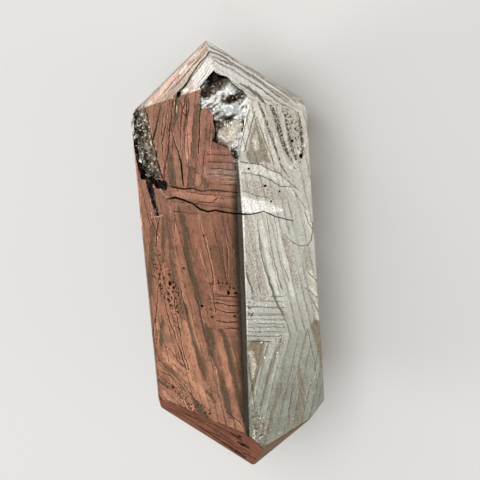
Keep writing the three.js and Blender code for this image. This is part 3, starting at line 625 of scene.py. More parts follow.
# One straight stretch of a band, as a group: how far inside it a spot is.
stretch = bpy.data.node_groups.new("stretch_of_band", "ShaderNodeTree")
for name, kind in (("Spot", "Vector"), ("Start", "Vector"), ("Run", "Vector"), ("Way", "Vector"),
                   ("Behind", "Float"), ("Half", "Float"), ("Widening", "Float")):
    stretch.interface.new_socket(name, in_out="INPUT", socket_type="NodeSocket" + kind)
stretch.interface.new_socket("Inside", in_out="OUTPUT", socket_type="NodeSocketFloat")
Wire.tree = stretch
given = Wire.node("NodeGroupInput", {}, {}, "Spot")
along = dot(given, given.other("Way")) - given.other("Behind")
along = Wire.node("ShaderNodeClamp", {}, {"Value": along})
foot = vectors("ADD", scaled(given.other("Run"), along), given.other("Start"))
off = vectors("DISTANCE", given, foot, output="Value")
depth_in = along.math("MULTIPLY_ADD", given.other("Widening"), given.other("Half")) - off
Wire.node("NodeGroupOutput", {}, {"Inside": depth_in})

# A band is left out of a material whose faces all lie further from it than this.
FAR_FROM_BAND = 0.4


def inside(spot, bands, field):
    """How far inside the nearest of these bands a spot is, in millimetres, or None where none is near."""
    best = None
    for bends in bands:
        for (*start, first_width), (*end, last_width) in zip(bends, bends[1:]):
            start, end = Vector((*start, 0)), Vector((*end, 0))
            reach = max(first_width, last_width) / 2 + FAR_FROM_BAND
            low, high = np.minimum(start, end) - reach, np.maximum(start, end) + reach
            if (low[:2] > field[1]).any() or (high[:2] < field[0]).any():
                continue
            run = end - start
            way = run / run.length_squared
            part = Wire.node("ShaderNodeGroup", {"node_tree": stretch}, {
                "Spot": spot,
                "Start": start,
                "Run": run,
                "Way": way,
                "Behind": start.dot(way),
                "Half": first_width / 2,
                "Widening": (last_width - first_width) / 2,
            })
            best = part if best is None else best.most(part)
    return best


def attribute(name):
    """A value that the mesh carries for its shaders."""
    return Wire.node("ShaderNodeAttribute", {"attribute_name": name}, {}, "Fac")


def front_place():
    """A point of the surface, right, up and out in the front view, in millimetres from the core."""
    place = Wire.node("ShaderNodeTexCoord", {}, {}, "Object")
    place = vectors("SUBTRACT", scaled(place, TO_MM), CORE)
    return together(dot(place, rightward), dot(place, (0, 1, 0)), dot(place, outward))


def pushed(place, scale, size):
    """The place moved at random by up to about this size, with this many lumps to a millimetre."""
    push = vectors("SUBTRACT", grain(place, scale).other("Color"), (0.5, 0.5, 0.5))
    return vectors("MULTIPLY_ADD", push, size, place)


# Painted light and shade: each plate is a little lighter towards one side, as if it were tipped to the
# light.
PAINTED_PLATE_TILT = 0.6


def plates(place, across, width, seed):
    """One set of parallel plates: two random values each, the first with painted light, and the edge
    distance.
    """
    where = dot(place, Vector(across).normalized() / width) + seed
    settings = {"voronoi_dimensions": "1D"}
    cell = Wire.node("ShaderNodeTexVoronoi", settings, {"W": where, "Scale": 1.0}, "Color")
    parts = Wire.node("ShaderNodeSeparateColor", {}, {0: cell})
    value = parts + (where - cell.other("W")) * PAINTED_PLATE_TILT
    settings = {"voronoi_dimensions": "1D", "feature": "DISTANCE_TO_EDGE"}
    edge = Wire.node("ShaderNodeTexVoronoi", settings, {"W": where, "Scale": 1.0}, "Distance") * width
    return value, parts.other(1), edge


# What each sawn face shows: the plates at the head end, half way and at the foot end, a field of fine
# grain, a groove, and two more tones that the metal takes in patches. These are partly the iron's own
# colours and partly painted reflection and light: warm on the left, silver on the right and at the head,
# lighter towards the foot on the left and darker there on the right.
SIDE_COLOURS = {
    "left": (("#9b7160", "#a3735a", "#c69274"), "#6c5743", "#351d14", "#ad735e", "#80614a"),
    "right": (("#c1bcb0", "#c0bfb4", "#898b7e"), "#857b6c", "#524a40", "#bcbeb6", "#a89e8e"),
    "head_left": (("#cbc2b5", "#cbc2b5", "#cbc2b5"), "#7d7266", "#453c33", "#d0b09e", "#aea391"),
    "head_right": (("#ece5da", "#ece5da", "#ece5da"), "#7d7266", "#4d443a", "#e8ddd2", "#c9c2b5"),
    "foot_left": (("#ad7461", "#ad7461", "#ad7461"), "#4a2c22", "#24130d", "#9d6350", "#875746"),
    "foot_right": (("#917361", "#917361", "#917361"), "#4f4338", "#2f251d", "#987a68", "#776051"),
}
# How each of them is finished: the width of its grooves, how much they cover and the least noise that
# keeps one, then how strongly its specks, marks, patches and plates show, and its tint seen edge on.
NO_TINT = "#ffffff"
SIDE_FINISH = {
    "left": ((0.1, 0.75, 0.5), (1.5, 0.6, 0.55, 0.34), NO_TINT),
    "right": ((0.09, 0.45, 0.5), (1.5, 0.25, 0.25, 0.2), NO_TINT),
    "head_left": ((0.1, 0.55, 0.5), (0.5, 0.3, 0.5, 0.4), NO_TINT),
    "head_right": ((0.1, 0.5, 0.5), (0.5, 0.3, 0.5, 0.3), NO_TINT),
    "foot_left": ((0.1, 0.85, 0.34), (1.2, 0.3, 0.7, 0.2), "#cbae9f"),
    "foot_right": ((0.08, 0.7, 0.34), (1.2, 0.3, 0.4, 0.2), "#bdaa9c"),
}
# How far up from the core a long face has its head tone and its foot tone in full.
HEAD_UP = 14.0
FOOT_UP = -16.0
# Noise of every etched face: lumps to a millimetre, detail and roughness.
SPECK_GRAIN = (6.5, 3.0, 0.75)
RAG_GRAIN = (4.0, 3.0, 0.7)
PATCH_GRAIN = (0.6, 3.0, 0.65)
PATCH_BORDER = (0.45, 0.62)
# Etched iron is satin. Its specks are smoother and stand out a little.
METAL_SHARE = 0.85
SATIN = 0.4
SPECK_POLISH = 0.3
SPECK_RISE = 0.02


def finish_etched(metal, shade, relief, specks, edge_tint=NO_TINT):
    """Joins a pattern's colour, its light and dark, and its relief to the shader of an etched face."""
    iron = Wire.tree.nodes["Principled BSDF"]
    Wire.tree.links.new(scaled(metal, shade).socket, iron.inputs["Base Color"])
    Wire.tree.links.new((SATIN - specks * SPECK_POLISH).socket, iron.inputs["Roughness"])
    height = relief + specks * SPECK_RISE
    bump = Wire.node("ShaderNodeBump", {}, {"Strength": 1.0, "Distance": 1 / TO_MM, "Height": height})
    Wire.tree.links.new(bump.socket, iron.inputs["Normal"])
    iron.inputs["Metallic"].default_value = METAL_SHARE
    iron.inputs["Specular Tint"].default_value = colour(edge_tint)


def iron_material(name):
    """Gives the stone one more material, which the next wires go into, and returns its number."""
    material = bpy.data.materials.new(name)
    material.use_nodes = True
    stone_mesh.materials.append(material)
    Wire.tree = material.node_tree
    return len(stone_mesh.materials) - 1


# The front: each face's own set of plates, then other sets in fields of their own, then single bands.
# A set has the way across its plates and their width, and a field its left, right, low and high limit.
SIDE_SET = ((0.99, 0.15), 0.80)
FRONT_FIELDS = {
    "left": (
        ((0.985, -0.17), 0.75, (-9.5, 1.3, 8.3, 18.0)),
        ((0.05, 1.0), 0.6, (-1.5, 1.4, 7.7, 12.1)),
        ((0.1, 1.0), 0.9, (-5.4, 1.4, 5.5, 7.7)),
        ((0.06, 1.0), 0.55, (-2.0, 1.2, -7.2, -2.4)),
        ((0.73, 0.68), 0.7, (-9.5, -5.6, -17.5, -10.2)),
    ),
    "right": (
        ((0.3, 0.95), 0.7, (0.9, 5.0, -8.1, -3.6)),
        ((0.95, -0.31), 0.8, (0.5, 9.5, -19.5, -8.2)),
    ),
    "head_left": (),
    "head_right": (),
    "foot_left": (),
    "foot_right": (),
}
END_SETS = {
    "head_left": ((0.73, -0.68), 0.42),
    "head_right": ((0.6, 0.8), 0.38),
    "foot_left": ((0.6, 0.8), 0.36),
    "foot_right": ((-0.53, 0.85), 0.36),
}
# Bands of one kind, each with its coats. A coat says how far inside the border it starts and is full,
# its colour, or which of the side's colours, or how much it lights what lies under it, how much of that
# it covers, its grain, and how far it stands out.
LEFT_LAYERS = (
    (LEFT_PAINTED_SHADE, (-0.5, 0.9, 0.6, 1.0, 0.3, 0.0)),
    (PALE_PLATES, (-0.05, 0.16, 1.36, 0.8, 0.3, 0.012)),
    (OLIVE_PLATES, (-0.12, 0.12, "#8f6f55", 0.65, 1.2, 0.0)),
    (LEFT_RIM_PAINTED_SHADE, (-0.2, 0.2, "#45392b", 0.85, 1.0, 0.0)),
    (FINE_BANDS, (-0.1, -0.03, "groove", 0.55, 0.6, -0.01), (-0.02, 0.08, "fine", 0.9, 1.2, -0.02)),
    (CRACK_LIP_HIGHLIGHTS, (-0.06, 0.05, 1.35, 0.7, 1.2, 0.0)),
    (WHITE_FLECKS, (-0.08, 0.08, "#cdb8a4", 0.7, 1.5, 0.0)),
    (THIN_LINES, (-0.14, -0.03, 1.16, 0.8, 0.5, 0.01), (-0.05, 0.04, "groove", 0.95, 1.0, -0.04)),
    (HEAD_EDGE_HIGHLIGHT, (-0.25, 0.25, "#b8917c", 0.5, 1.8, 0.0)),
    (RIDGE_PAINTED_SHADE, (-0.5, 0.45, "#2f271d", 0.97, 1.6, 0.0)),
    (FOOT_EDGE, (-0.1, 0.06, "groove", 0.8, 1.0, 0.0)),
)
RIGHT_LAYERS = (
    (MOTTLED_FIELDS, (-0.12, 0.14, "#aba498", 0.85, 2.4, -0.01)),
    (DARK_FIELDS, (-0.1, 0.1, "#8d8475", 0.9, 2.2, -0.015)),
    (WARM_WEDGES, (-0.08, 0.14, "#857864", 0.95, 1.8, -0.015)),
    (PALE_PLATES, (-0.05, 0.1, 1.26, 0.8, 0.3, 0.008)),
    (LEVEL_PLATES, (-0.1, 0.12, "#cecbc1", 0.8, 1.0, 0.004)),
    (BRIGHT_PLATES, (-0.1, 0.16, "#e8e6de", 0.9, 1.2, 0.0)),
    (CREAM_FLECKS_AND_REFLECTIONS, (-0.16, 0.2, "#dcd5c2", 0.6, 2.6, 0.0)),
    (FINE_BANDS, (-0.12, -0.03, 1.12, 0.8, 0.5, 0.01), (-0.05, 0.09, "fine", 0.8, 1.5, -0.012)),
    (DARK_BANDS, (-0.12, 0.1, "#9c9384", 0.8, 3.0, -0.02)),
    (WHITE_FLECKS, (-0.12, 0.12, "#f4f0e6", 0.85, 1.0, 0.0)),
    (THIN_LINES, (-0.14, -0.03, 1.14, 0.8, 0.5, 0.01), (-0.06, 0.05, "groove", 0.75, 1.0, -0.03)),
    (RIDGE_PAINTED_DARK, (-0.06, 0.08, "#3b3024", 0.92, 1.0, 0.0)),
    (RIDGE_PAINTED_HIGHLIGHT, (-0.04, 0.06, "#f0eee4", 0.75, 1.2, 0.0)),
    (FOOT_EDGE, (-0.1, 0.06, "groove", 0.7, 1.0, 0.0)),
)
HEAD_LAYERS = (
    (HEAD_ROSE_REFLECTION, (-0.2, 0.2, "#eecdb9", 0.85, 0.8, 0.0)),
    (HEAD_SILVER, (-0.08, 0.12, "#efede7", 0.8, 0.8, 0.0)),
    (HEAD_LINES, (-0.14, -0.03, 1.15, 0.8, 0.5, 0.01), (-0.05, 0.06, "groove", 0.85, 1.2, -0.03)),
    (HEAD_EDGE_HIGHLIGHT, (-0.25, 0.25, "#b8917c", 0.5, 1.8, 0.0)),
    (WHITE_FLECKS, (-0.08, 0.08, "#f6f2e8", 0.9, 0.8, 0.0)),
)
# Bands that the bends of the pattern leave straight, and how ragged a border is, where that isn't 1.
STRAIGHT_BANDS = (RIDGE_PAINTED_SHADE, RIDGE_PAINTED_DARK, RIDGE_PAINTED_HIGHLIGHT, LEFT_RIM_PAINTED_SHADE)
RAGGED = {THIN_LINES: 0.45, HEAD_LINES: 0.6, **dict.fromkeys(STRAIGHT_BANDS, 0.3)}
SIDE_LAYERS = {
    "left": LEFT_LAYERS,
    "right": RIGHT_LAYERS,
    "head_left": HEAD_LAYERS,
    "head_right": HEAD_LAYERS,
    "foot_left": (
        (FOOT_LINES, (-0.16, -0.04, 1.3, 0.8, 0.5, 0.01), (-0.06, 0.05, "groove", 0.95, 1.0, -0.03)),
    ),
    "foot_right": ((FOOT_RIGHT_LINES, (-0.06, 0.06, "groove", 0.7, 1.0, -0.02)),),
}
# Small spots in fields of the front: their colour, how many lumps of noise to a millimetre they come
# from, the least value that shows, how wide the soft border of their field is, and how far they stand out.
SIDE_DOTS = {
    "left": ((PITTED_FIELDS, "#2b1610", 4.0, 0.555, 0.4, -0.05),),
    "right": (
        (PITTED_FIELDS, "#3f3930", 3.2, 0.62, 0.4, -0.05),
        (DARK_BANDS, "#373027", 5.0, 0.47, 0.08, -0.03),
        # Painted glints.
        (PAINTED_GLINT_FIELDS, "#ffffff", 4.0, 0.66, 0.4, 0.02),
    ),
    "head_left": ((HEAD_SPECKS, "#3a3129", 3.4, 0.62, 0.4, -0.03),),
    "head_right": ((HEAD_SPECKS, "#453c33", 3.4, 0.62, 0.4, -0.03),),
    "foot_left": (),
    "foot_right": (),
}
DOT_GRAIN = (1.0, 0.5)
DOT_BORDER = 0.05
DOT_COVER = 0.9
DOT_FIELD_RAG = 10.0
# How the pattern bends, first slowly and then finely: lumps to a millimetre, and how far.
SLOW_BENDS = (0.8, (0.3, 0.3, 0))
FINE_BENDS = (4.0, (0.1, 0.1, 0))
FRONT_RAG = 0.22
FIELD_BORDER = (-0.02, 0.04)
FIRST_PLATES = 3.0
NEXT_PLATES = 11.0
# Strokes: how many lumps they have to a millimetre each way, a seed, their detail and roughness.
ACROSS_SIDE = Vector((*SIDE_SET[0], 0))
STREAKS = (ACROSS_SIDE * 5.0, (0, 0.4, 0), 0.0, 3.0, 0.6)
DARK_MARKS = (ACROSS_SIDE * 3.5, (0, 1.2, 0), 5.0, 4.0, 0.7)
BRUSH_STROKES = ((0.9, 0, 0), (0, 11.0, 0), 0.0, 3.0, 0.7)
MARK_BORDER = (0.54, 0.7)
STROKE_BORDER = (0.46, 0.72)
BRUSHED_BORDER = (-0.4, 0.6)
BRUSHED_COVER = 0.8
BRUSHED_TONE = "#d9d2c8"
# A groove is broken off in places: their lumps to a millimetre, and how much depends on the plate.
BREAK_LUMPS = 0.35
BREAK_BY_PLATE = 0.3
BREAK_BORDER = 0.16
GROOVE_RISE = -0.02
# Where the patches of the first tone are drawn from, and the step to the next tone's.
FIRST_PATCHES = Vector((0, 5.0, 2.0))
NEXT_PATCHES = Vector((9.0, 0, 0))
# The light painted on a face: how much streaks change it, on a coat and in all, then plates, and painted
# shade at their rims.
COAT_STREAKS = 0.5
STREAK_LIGHT = 0.4
RIM_BORDER = (0.0, 0.2)
PAINTED_RIM_SHADE = 0.12
PLAIN_LIGHT = 0.94


def strokes(place, across, along, seed, detail, roughness):
    """Noise from 0 to 1 that is drawn out into strokes."""
    return grain(together(dot(place, across), dot(place, along), seed), 1.0, detail, roughness)


def in_field(spot, field):
    """How far inside a four-sided field of the front view a spot is."""
    left, right, low, high = field
    x, y = dot(spot, (1, 0, 0)), dot(spot, (0, 1, 0))
    return (x - left).least(right - x).least(y - low).least(high - y)


def etched_front(side, field):
    """The shader for the stretch of one front face that lies in this field."""
    index = iron_material("etched_" + side)
    (head_tone, middle_tone, foot_tone), fine_tone, groove_tone, *patch_tones = SIDE_COLOURS[side]
    place = front_place()
    flat = vectors("MULTIPLY", place, (1, 1, 0))
    up = dot(place, (0, 1, 0))
    grooves, strengths, edge_tint = SIDE_FINISH[side]
    groove_width, most_groove, least_kept = grooves
    speckled, marked, patched, contrast = strengths
    spot = pushed(pushed(flat, *SLOW_BENDS), *FINE_BENDS)
    specks = grain(place, *SPECK_GRAIN) - 0.5
    ragged = (grain(place, *RAG_GRAIN) - 0.5) * FRONT_RAG
    across, width = END_SETS.get(side, SIDE_SET)
    value, extra, edge = plates(spot, (*across, 0), width, FIRST_PLATES)
    for number, (across, width, limits) in enumerate(FRONT_FIELDS[side]):
        left, right, low, high = limits
        if right < field[0][0] or left > field[1][0] or high < field[0][1] or low > field[1][1]:
            continue
        there = in_field(spot, limits).rise(*FIELD_BORDER)
        plates_there = plates(spot, (*across, 0), width, NEXT_PLATES * number)
        value, extra, edge = (
            blended(there, *both) for both in zip((value, extra, edge), plates_there))
    streak = strokes(spot, *STREAKS) - 0.5
    kept = grain(flat, BREAK_LUMPS) + extra * BREAK_BY_PLATE
    kept = kept.rise(least_kept, least_kept + BREAK_BORDER)
    groove = (1.0 - (edge + ragged).rise(0.0, groove_width)) * kept
    middle = (FOOT_UP + HEAD_UP) / 2
    metal = mixed(up.rise(FOOT_UP, middle), foot_tone, middle_tone)
    metal = mixed(up.rise(middle, HEAD_UP), metal, head_tone)
    for number, tone in enumerate(patch_tones):
        patch = grain(vectors("ADD", place, FIRST_PATCHES + NEXT_PATCHES * number), *PATCH_GRAIN)
        metal = mixed(patch.rise(*PATCH_BORDER) * patched, metal, tone)
    metal = mixed(strokes(spot, *DARK_MARKS).rise(*MARK_BORDER) * marked, metal, groove_tone)
    metal = mixed(groove * most_groove, metal, groove_tone)
    relief = groove * GROOVE_RISE
    for bands, *coats in SIDE_LAYERS[side]:
        depth_in = inside(flat if bands in STRAIGHT_BANDS else spot, bands, field)
        if depth_in is None:
            continue
        border = depth_in + ragged * RAGGED.get(bands, 1.0)
        for start, end, tone, cover, roughly, rise in coats:
            share = border.rise(start, end) * cover
            grainy = specks * roughly + streak * COAT_STREAKS + 1.0
            if isinstance(tone, float):
                over = scaled(metal, grainy * tone)
            else:
                code = {"fine": fine_tone, "groove": groove_tone}.get(tone, tone)
                over = scaled(colour(code)[:3], grainy)
            metal = mixed(share, metal, over)
            relief = relief + share * rise
    brushed = inside(spot, BRUSHED_PATCH, field) if side == "left" else None
    if brushed is not None:
        share = strokes(flat, *BRUSH_STROKES).rise(*STROKE_BORDER) * brushed.rise(*BRUSHED_BORDER)
        metal = mixed(share * BRUSHED_COVER, metal, BRUSHED_TONE)
    for fields, tone, scale, least, soft, rise in SIDE_DOTS[side]:
        depth_in = inside(spot, fields, field)
        if depth_in is None:
            continue
        lumps = grain(vectors("ADD", place, (scale, 0, 0)), scale, *DOT_GRAIN)
        border = depth_in + ragged * (DOT_FIELD_RAG * soft)
        shown = lumps.rise(least, least + DOT_BORDER) * border.rise(-soft / 2, soft)
        metal = mixed(shown * DOT_COVER, metal, tone)
        relief = relief + shown * rise
    shade = specks * speckled + streak * STREAK_LIGHT + value * contrast
    shade = shade + edge.rise(*RIM_BORDER) * PAINTED_RIM_SHADE + (PLAIN_LIGHT - contrast / 2)
    finish_etched(metal, shade, relief, specks, edge_tint)
    return index


# The rest of the stone, where the same four sets of plates go on through the iron. Each set has the way
# across its plates, their width, and how little of the iron it fills.
PLATE_SETS = (
    ((0.30, 0.35, 0.89), 0.9, 0.0),
    ((0.93, 0.29, 0.24), 0.8, 0.64),
    ((0.93, -0.29, 0.24), 0.9, 0.68),
    ((0.10, 0.99, -0.10), 1.0, 0.74),
)
# Each tone on a grey face and on one with a painted warm reflection: plates, pale plates, fine grain,
# grooves and patches.
ROUND_TONES = (
    ("#b7b1a4", "#9a6b52"),
    ("#cdc9be", "#bb8a70"),
    ("#958c7d", "#7d5f49"),
    ("#524a40", "#351d14"),
    ("#a89e8e", "#80614a"),
)
ROUND_SLOW_BENDS = (0.5, (0.45, 0.45, 0.45))
ROUND_FINE_BENDS = (4.0, (0.1, 0.1, 0.1))
ROUND_RAG = 0.2
ROUND_PATCHED = 0.5
# A set's seed, and the noise that says where the set shows.
NEXT_SET = 5.0
FIRST_AREAS = Vector((0, 5.0, 9.0))
NEXT_AREAS = Vector((17.0, 0, 0))
AREA_GRAIN = (0.3, 1.0)
AREA_BY_PLATE = 0.35
AREA_BORDER = 0.02
# Which plates are pale or finely grained, and what the grooves between them are like.
PALE_PLATE = (0.6, 0.8)
FINE_PLATE = (0.84, 0.88)
GROOVE_WIDTH = 0.07
GROOVE_COVER = 0.6
ROUND_GROOVE_RISE = -0.012
# The light on a plate, and the specks and small pits all over.
LEAST_LIGHT = 0.85
PLATE_LIGHT = 0.25
ROUND_SPECKLE = 1.4
PIT_GRAIN = (2.6, 2.0, 0.55)
PIT_BORDER = (0.66, 0.7)
PIT_COVER = 0.9
PIT_RISE = -0.05


def etched_round():
    """The shader for the sawn faces that the front view doesn't show."""
    index = iron_material("etched_round")
    place = front_place()
    bent = pushed(pushed(place, *ROUND_SLOW_BENDS), *ROUND_FINE_BENDS)
    specks = grain(place, *SPECK_GRAIN) - 0.5
    ragged = (grain(place, *RAG_GRAIN) - 0.5) * ROUND_RAG
    # Faces that look left have a warm reflection painted into their colour.
    warm = attribute("painted_warm_reflection")
    metal, pale, fine, dark, patched = (mixed(warm, *tones) for tones in ROUND_TONES)
    metal = mixed(grain(place, *PATCH_GRAIN).rise(*PATCH_BORDER) * ROUND_PATCHED, metal, patched)
    tone = metal
    relief = 0.0
    shade = 1.0
    for number, (across, width, least) in enumerate(PLATE_SETS):
        value, extra, edge = plates(bent, across, width, NEXT_SET * number)
        area = grain(vectors("ADD", bent, FIRST_AREAS + NEXT_AREAS * number), *AREA_GRAIN)
        shown = (area + extra * AREA_BY_PLATE).rise(least, least + AREA_BORDER)
        groove = 1.0 - (edge + ragged).rise(0.0, GROOVE_WIDTH)
        plate = mixed(value.rise(*PALE_PLATE), metal, pale)
        plate = mixed(extra.rise(*FINE_PLATE), plate, fine)
        plate = mixed(groove * GROOVE_COVER, plate, dark)
        tone = mixed(shown, tone, plate)
        relief = blended(shown, relief, groove * ROUND_GROOVE_RISE)
        shade = blended(shown, shade, value * PLATE_LIGHT + LEAST_LIGHT)
    pits = grain(place, *PIT_GRAIN).rise(*PIT_BORDER)
    shade = shade + specks * ROUND_SPECKLE
    finish_etched(mixed(pits * PIT_COVER, tone, dark), shade, relief + pits * PIT_RISE, specks)
    return index


# What the broken places of the front show: bright clean iron at the corner, with dark holes, a painted
# shadow under a smooth lens, and brown and cream crumbs, and a dark crust in the hollow on the left, olive
# where it is thin.
CORNER_BREAK = (
    ((-1.1, 18.2, 1.2), (-0.9, 17.2, 2.0), (0.8, 17.6, 2.4), (2.6, 16.8, 1.8)),
    ((-1.2, 16.3, 1.4), (0.4, 15.6, 2.0), (2.3, 15.4, 1.8)),
    ((1.0, 15.0, 2.6), (1.0, 12.4, 2.8), (1.3, 10.6, 1.0)),
)
CORNER_DARKS_AND_SHADOW = (
    ((-1.3, 17.4, 0.8), (-0.7, 17.9, 1.2), (0.1, 18.5, 1.2), (0.8, 18.6, 0.7)),
    ((1.0, 16.8, 0.7), (1.7, 17.0, 0.9), (2.3, 17.1, 0.6)),
    ((-0.4, 15.3, 0.3), (-0.1, 15.6, 0.3)),
    # Painted shadow under the lens.
    ((-0.4, 14.7, 0.45), (0.6, 15.0, 0.5), (1.5, 15.3, 0.35)),
    ((1.0, 11.8, 0.6), (1.5, 11.0, 0.6), (1.6, 10.0, 0.5)),
)
CORNER_CRUMBS = (
    ((-0.1, 13.9, 1.0), (1.1, 14.0, 1.8), (1.9, 14.6, 0.9)),
    ((0.9, 13.3, 1.2), (1.0, 12.7, 0.7)),
)
CORNER_BROWN = (
    ((-0.7, 13.2, 0.6), (-0.4, 12.9, 0.9), (0.4, 12.4, 0.7)),
)
CORNER_LENS = (
    ((0.4, 16.0, 0.2), (1.0, 16.0, 0.5), (1.6, 15.85, 0.5), (2.4, 15.5, 0.2)),
)
CRUST_HOLLOW = (
    ((-7.8, 16.4, 1.2), (-7.5, 14.0, 1.8), (-7.4, 11.5, 2.0), (-7.0, 9.6, 1.6)),
    ((-7.2, 8.9, 1.0), (-6.1, 8.4, 1.4)),
    ((-7.7, 9.0, 1.2), (-7.4, 7.2, 1.1), (-7.0, 5.2, 0.9)),
)
# Where painted glints of caught light go, on the rim of the crust.
CRUST_RIM = (
    ((-9.1, 16.4, 0.9), (-8.9, 14.0, 0.9), (-8.5, 12.0, 0.7), (-8.2, 10.6, 0.5)),
)
CRUST_OLIVE = (
    ((-7.6, 16.0, 0.4), (-7.3, 14.5, 0.8), (-7.15, 12.4, 1.0), (-7.0, 10.4, 0.9), (-6.8, 9.4, 0.3)),
)
# How far inside its bands each of them starts and is full.
NATURAL_BORDER = (-0.1, 0.3)
CORNER_BORDER = (-0.1, 0.2)
DARKS_BORDER = (-0.15, 0.15)
CRUMBS_BORDER = (-0.15, 0.2)
LENS_BORDER = (-0.05, 0.08)
CRUST_BORDER = (-0.2, 0.2)
# A field that every band is in, and how far out from the core the front's broken places begin.
EVERYWHERE = (np.full(2, -99), np.full(2, 99))
FRONT_BEGINS = (3.0, 4.5)
# How their borders bend, how many crystals they have to a millimetre, and the strokes of the sheets.
BROKEN_BENDS = (1.5, (0.35, 0.35, 0))
CRYSTALS_TO_MM = 2.6
SHEETS = ((-2.4, 2.7, 0), (0.7, 0.6, 0), 0.0, 3.0, 0.6)
# Noise of the broken places: lumps to a millimetre, detail and roughness.
GRIT = (3.4, 4.0, 0.7)
BITS = (1.8, 2.0, 0.6)
FINE_CRUMBS = (6.0, 3.0, 0.7)
GLINTS = (4.0, 2.0, 0.6)
CRUST_PATCHES = (1.1, 3.0, 0.6)
OLIVE_GRAIN = (1.6, 4.0, 0.65)
RIM_GRAIN = (2.4, 2.0, 0.6)
# Two tones, and the noise at which the second starts to show and is full.
CRUST_TONES = ("#19110d", "#75655a", 0.44, 0.62)
OLIVE_TONES = ("#5d5040", "#b5ab93", 0.36, 0.64)
CRACK_TONES = ("#120c09", "#33241b", 0.4, 0.65)
BROWN_TONES = ("#6a5646", "#a3907f", 0.36, 0.58)
# Two tones that single crystals or crumbs have between them, and tones that stand alone.
CRUST_CRYSTALS = ("#574b43", "#b5a79c")
GAP_CRYSTALS = ("#5f5a52", "#a8a299")
CRUMB_TONES = ("#9d8f78", "#f0eadc")
DARK_TONES = ("#241c16", "#9c8f7c")
HOLLOW_TONES = ("#1c1410", "#ab9985")
# The glint tones are painted glints of caught light.
CRUST_PAINTED_GLINT = "#e2e0d6"
DARK_PAINTED_GLINT = "#f4f2ea"
BRIGHT_SHEET = "#f7f6f2"
FRESH_GRIT = "#4a423a"
LENS_TONE = "#c3c8ca"
RIM_PAINTED_GLINT = "#dcdacd"
# The noise at which each of these starts to show and is full, and how much it covers then.
GLINT_SHOWS = (0.6, 0.66)
PATCH_SHOWS = (0.5, 0.58)
BITS_SHOW = (0.4, 0.56)
SHEETS_SHOW = (0.36, 0.56)
GRIT_SHOWS = (0.58, 0.66)
CRUMBS_SHOW = (0.36, 0.6)
DARKS_LIT = (0.42, 0.6)
DARKS_CLEAN = (0.1, 0.6)
HOLLOW_LIT = (0.4, 0.58)
RIM_SHOWS = (0.48, 0.58)
PATCH_COVER = 0.8
OLIVE_COVER = 0.85
GRIT_COVER = 0.7
# A crumb's tone comes from its crystal and from finer noise. A hollow is dark from this deep on.
CRUMB_BY_CRYSTAL = 0.4
CRUMB_BY_NOISE = 0.6
HOLLOW_DEPTH = (0.8, 1.3)
HOLLOW_RAG = 0.4
BROKEN_METAL = 0.8
BROKEN_ROUGHNESS = 0.38


def two_toned(lumps, first, second, low, high):
    """One tone where the noise is low, another where it is high."""
    return mixed(lumps.rise(low, high), first, second)


def covered(under, tone, spot, bands, border):
    """A colour with another over it inside these bands."""
    return mixed(inside(spot, bands, EVERYWHERE).rise(*border), under, tone)


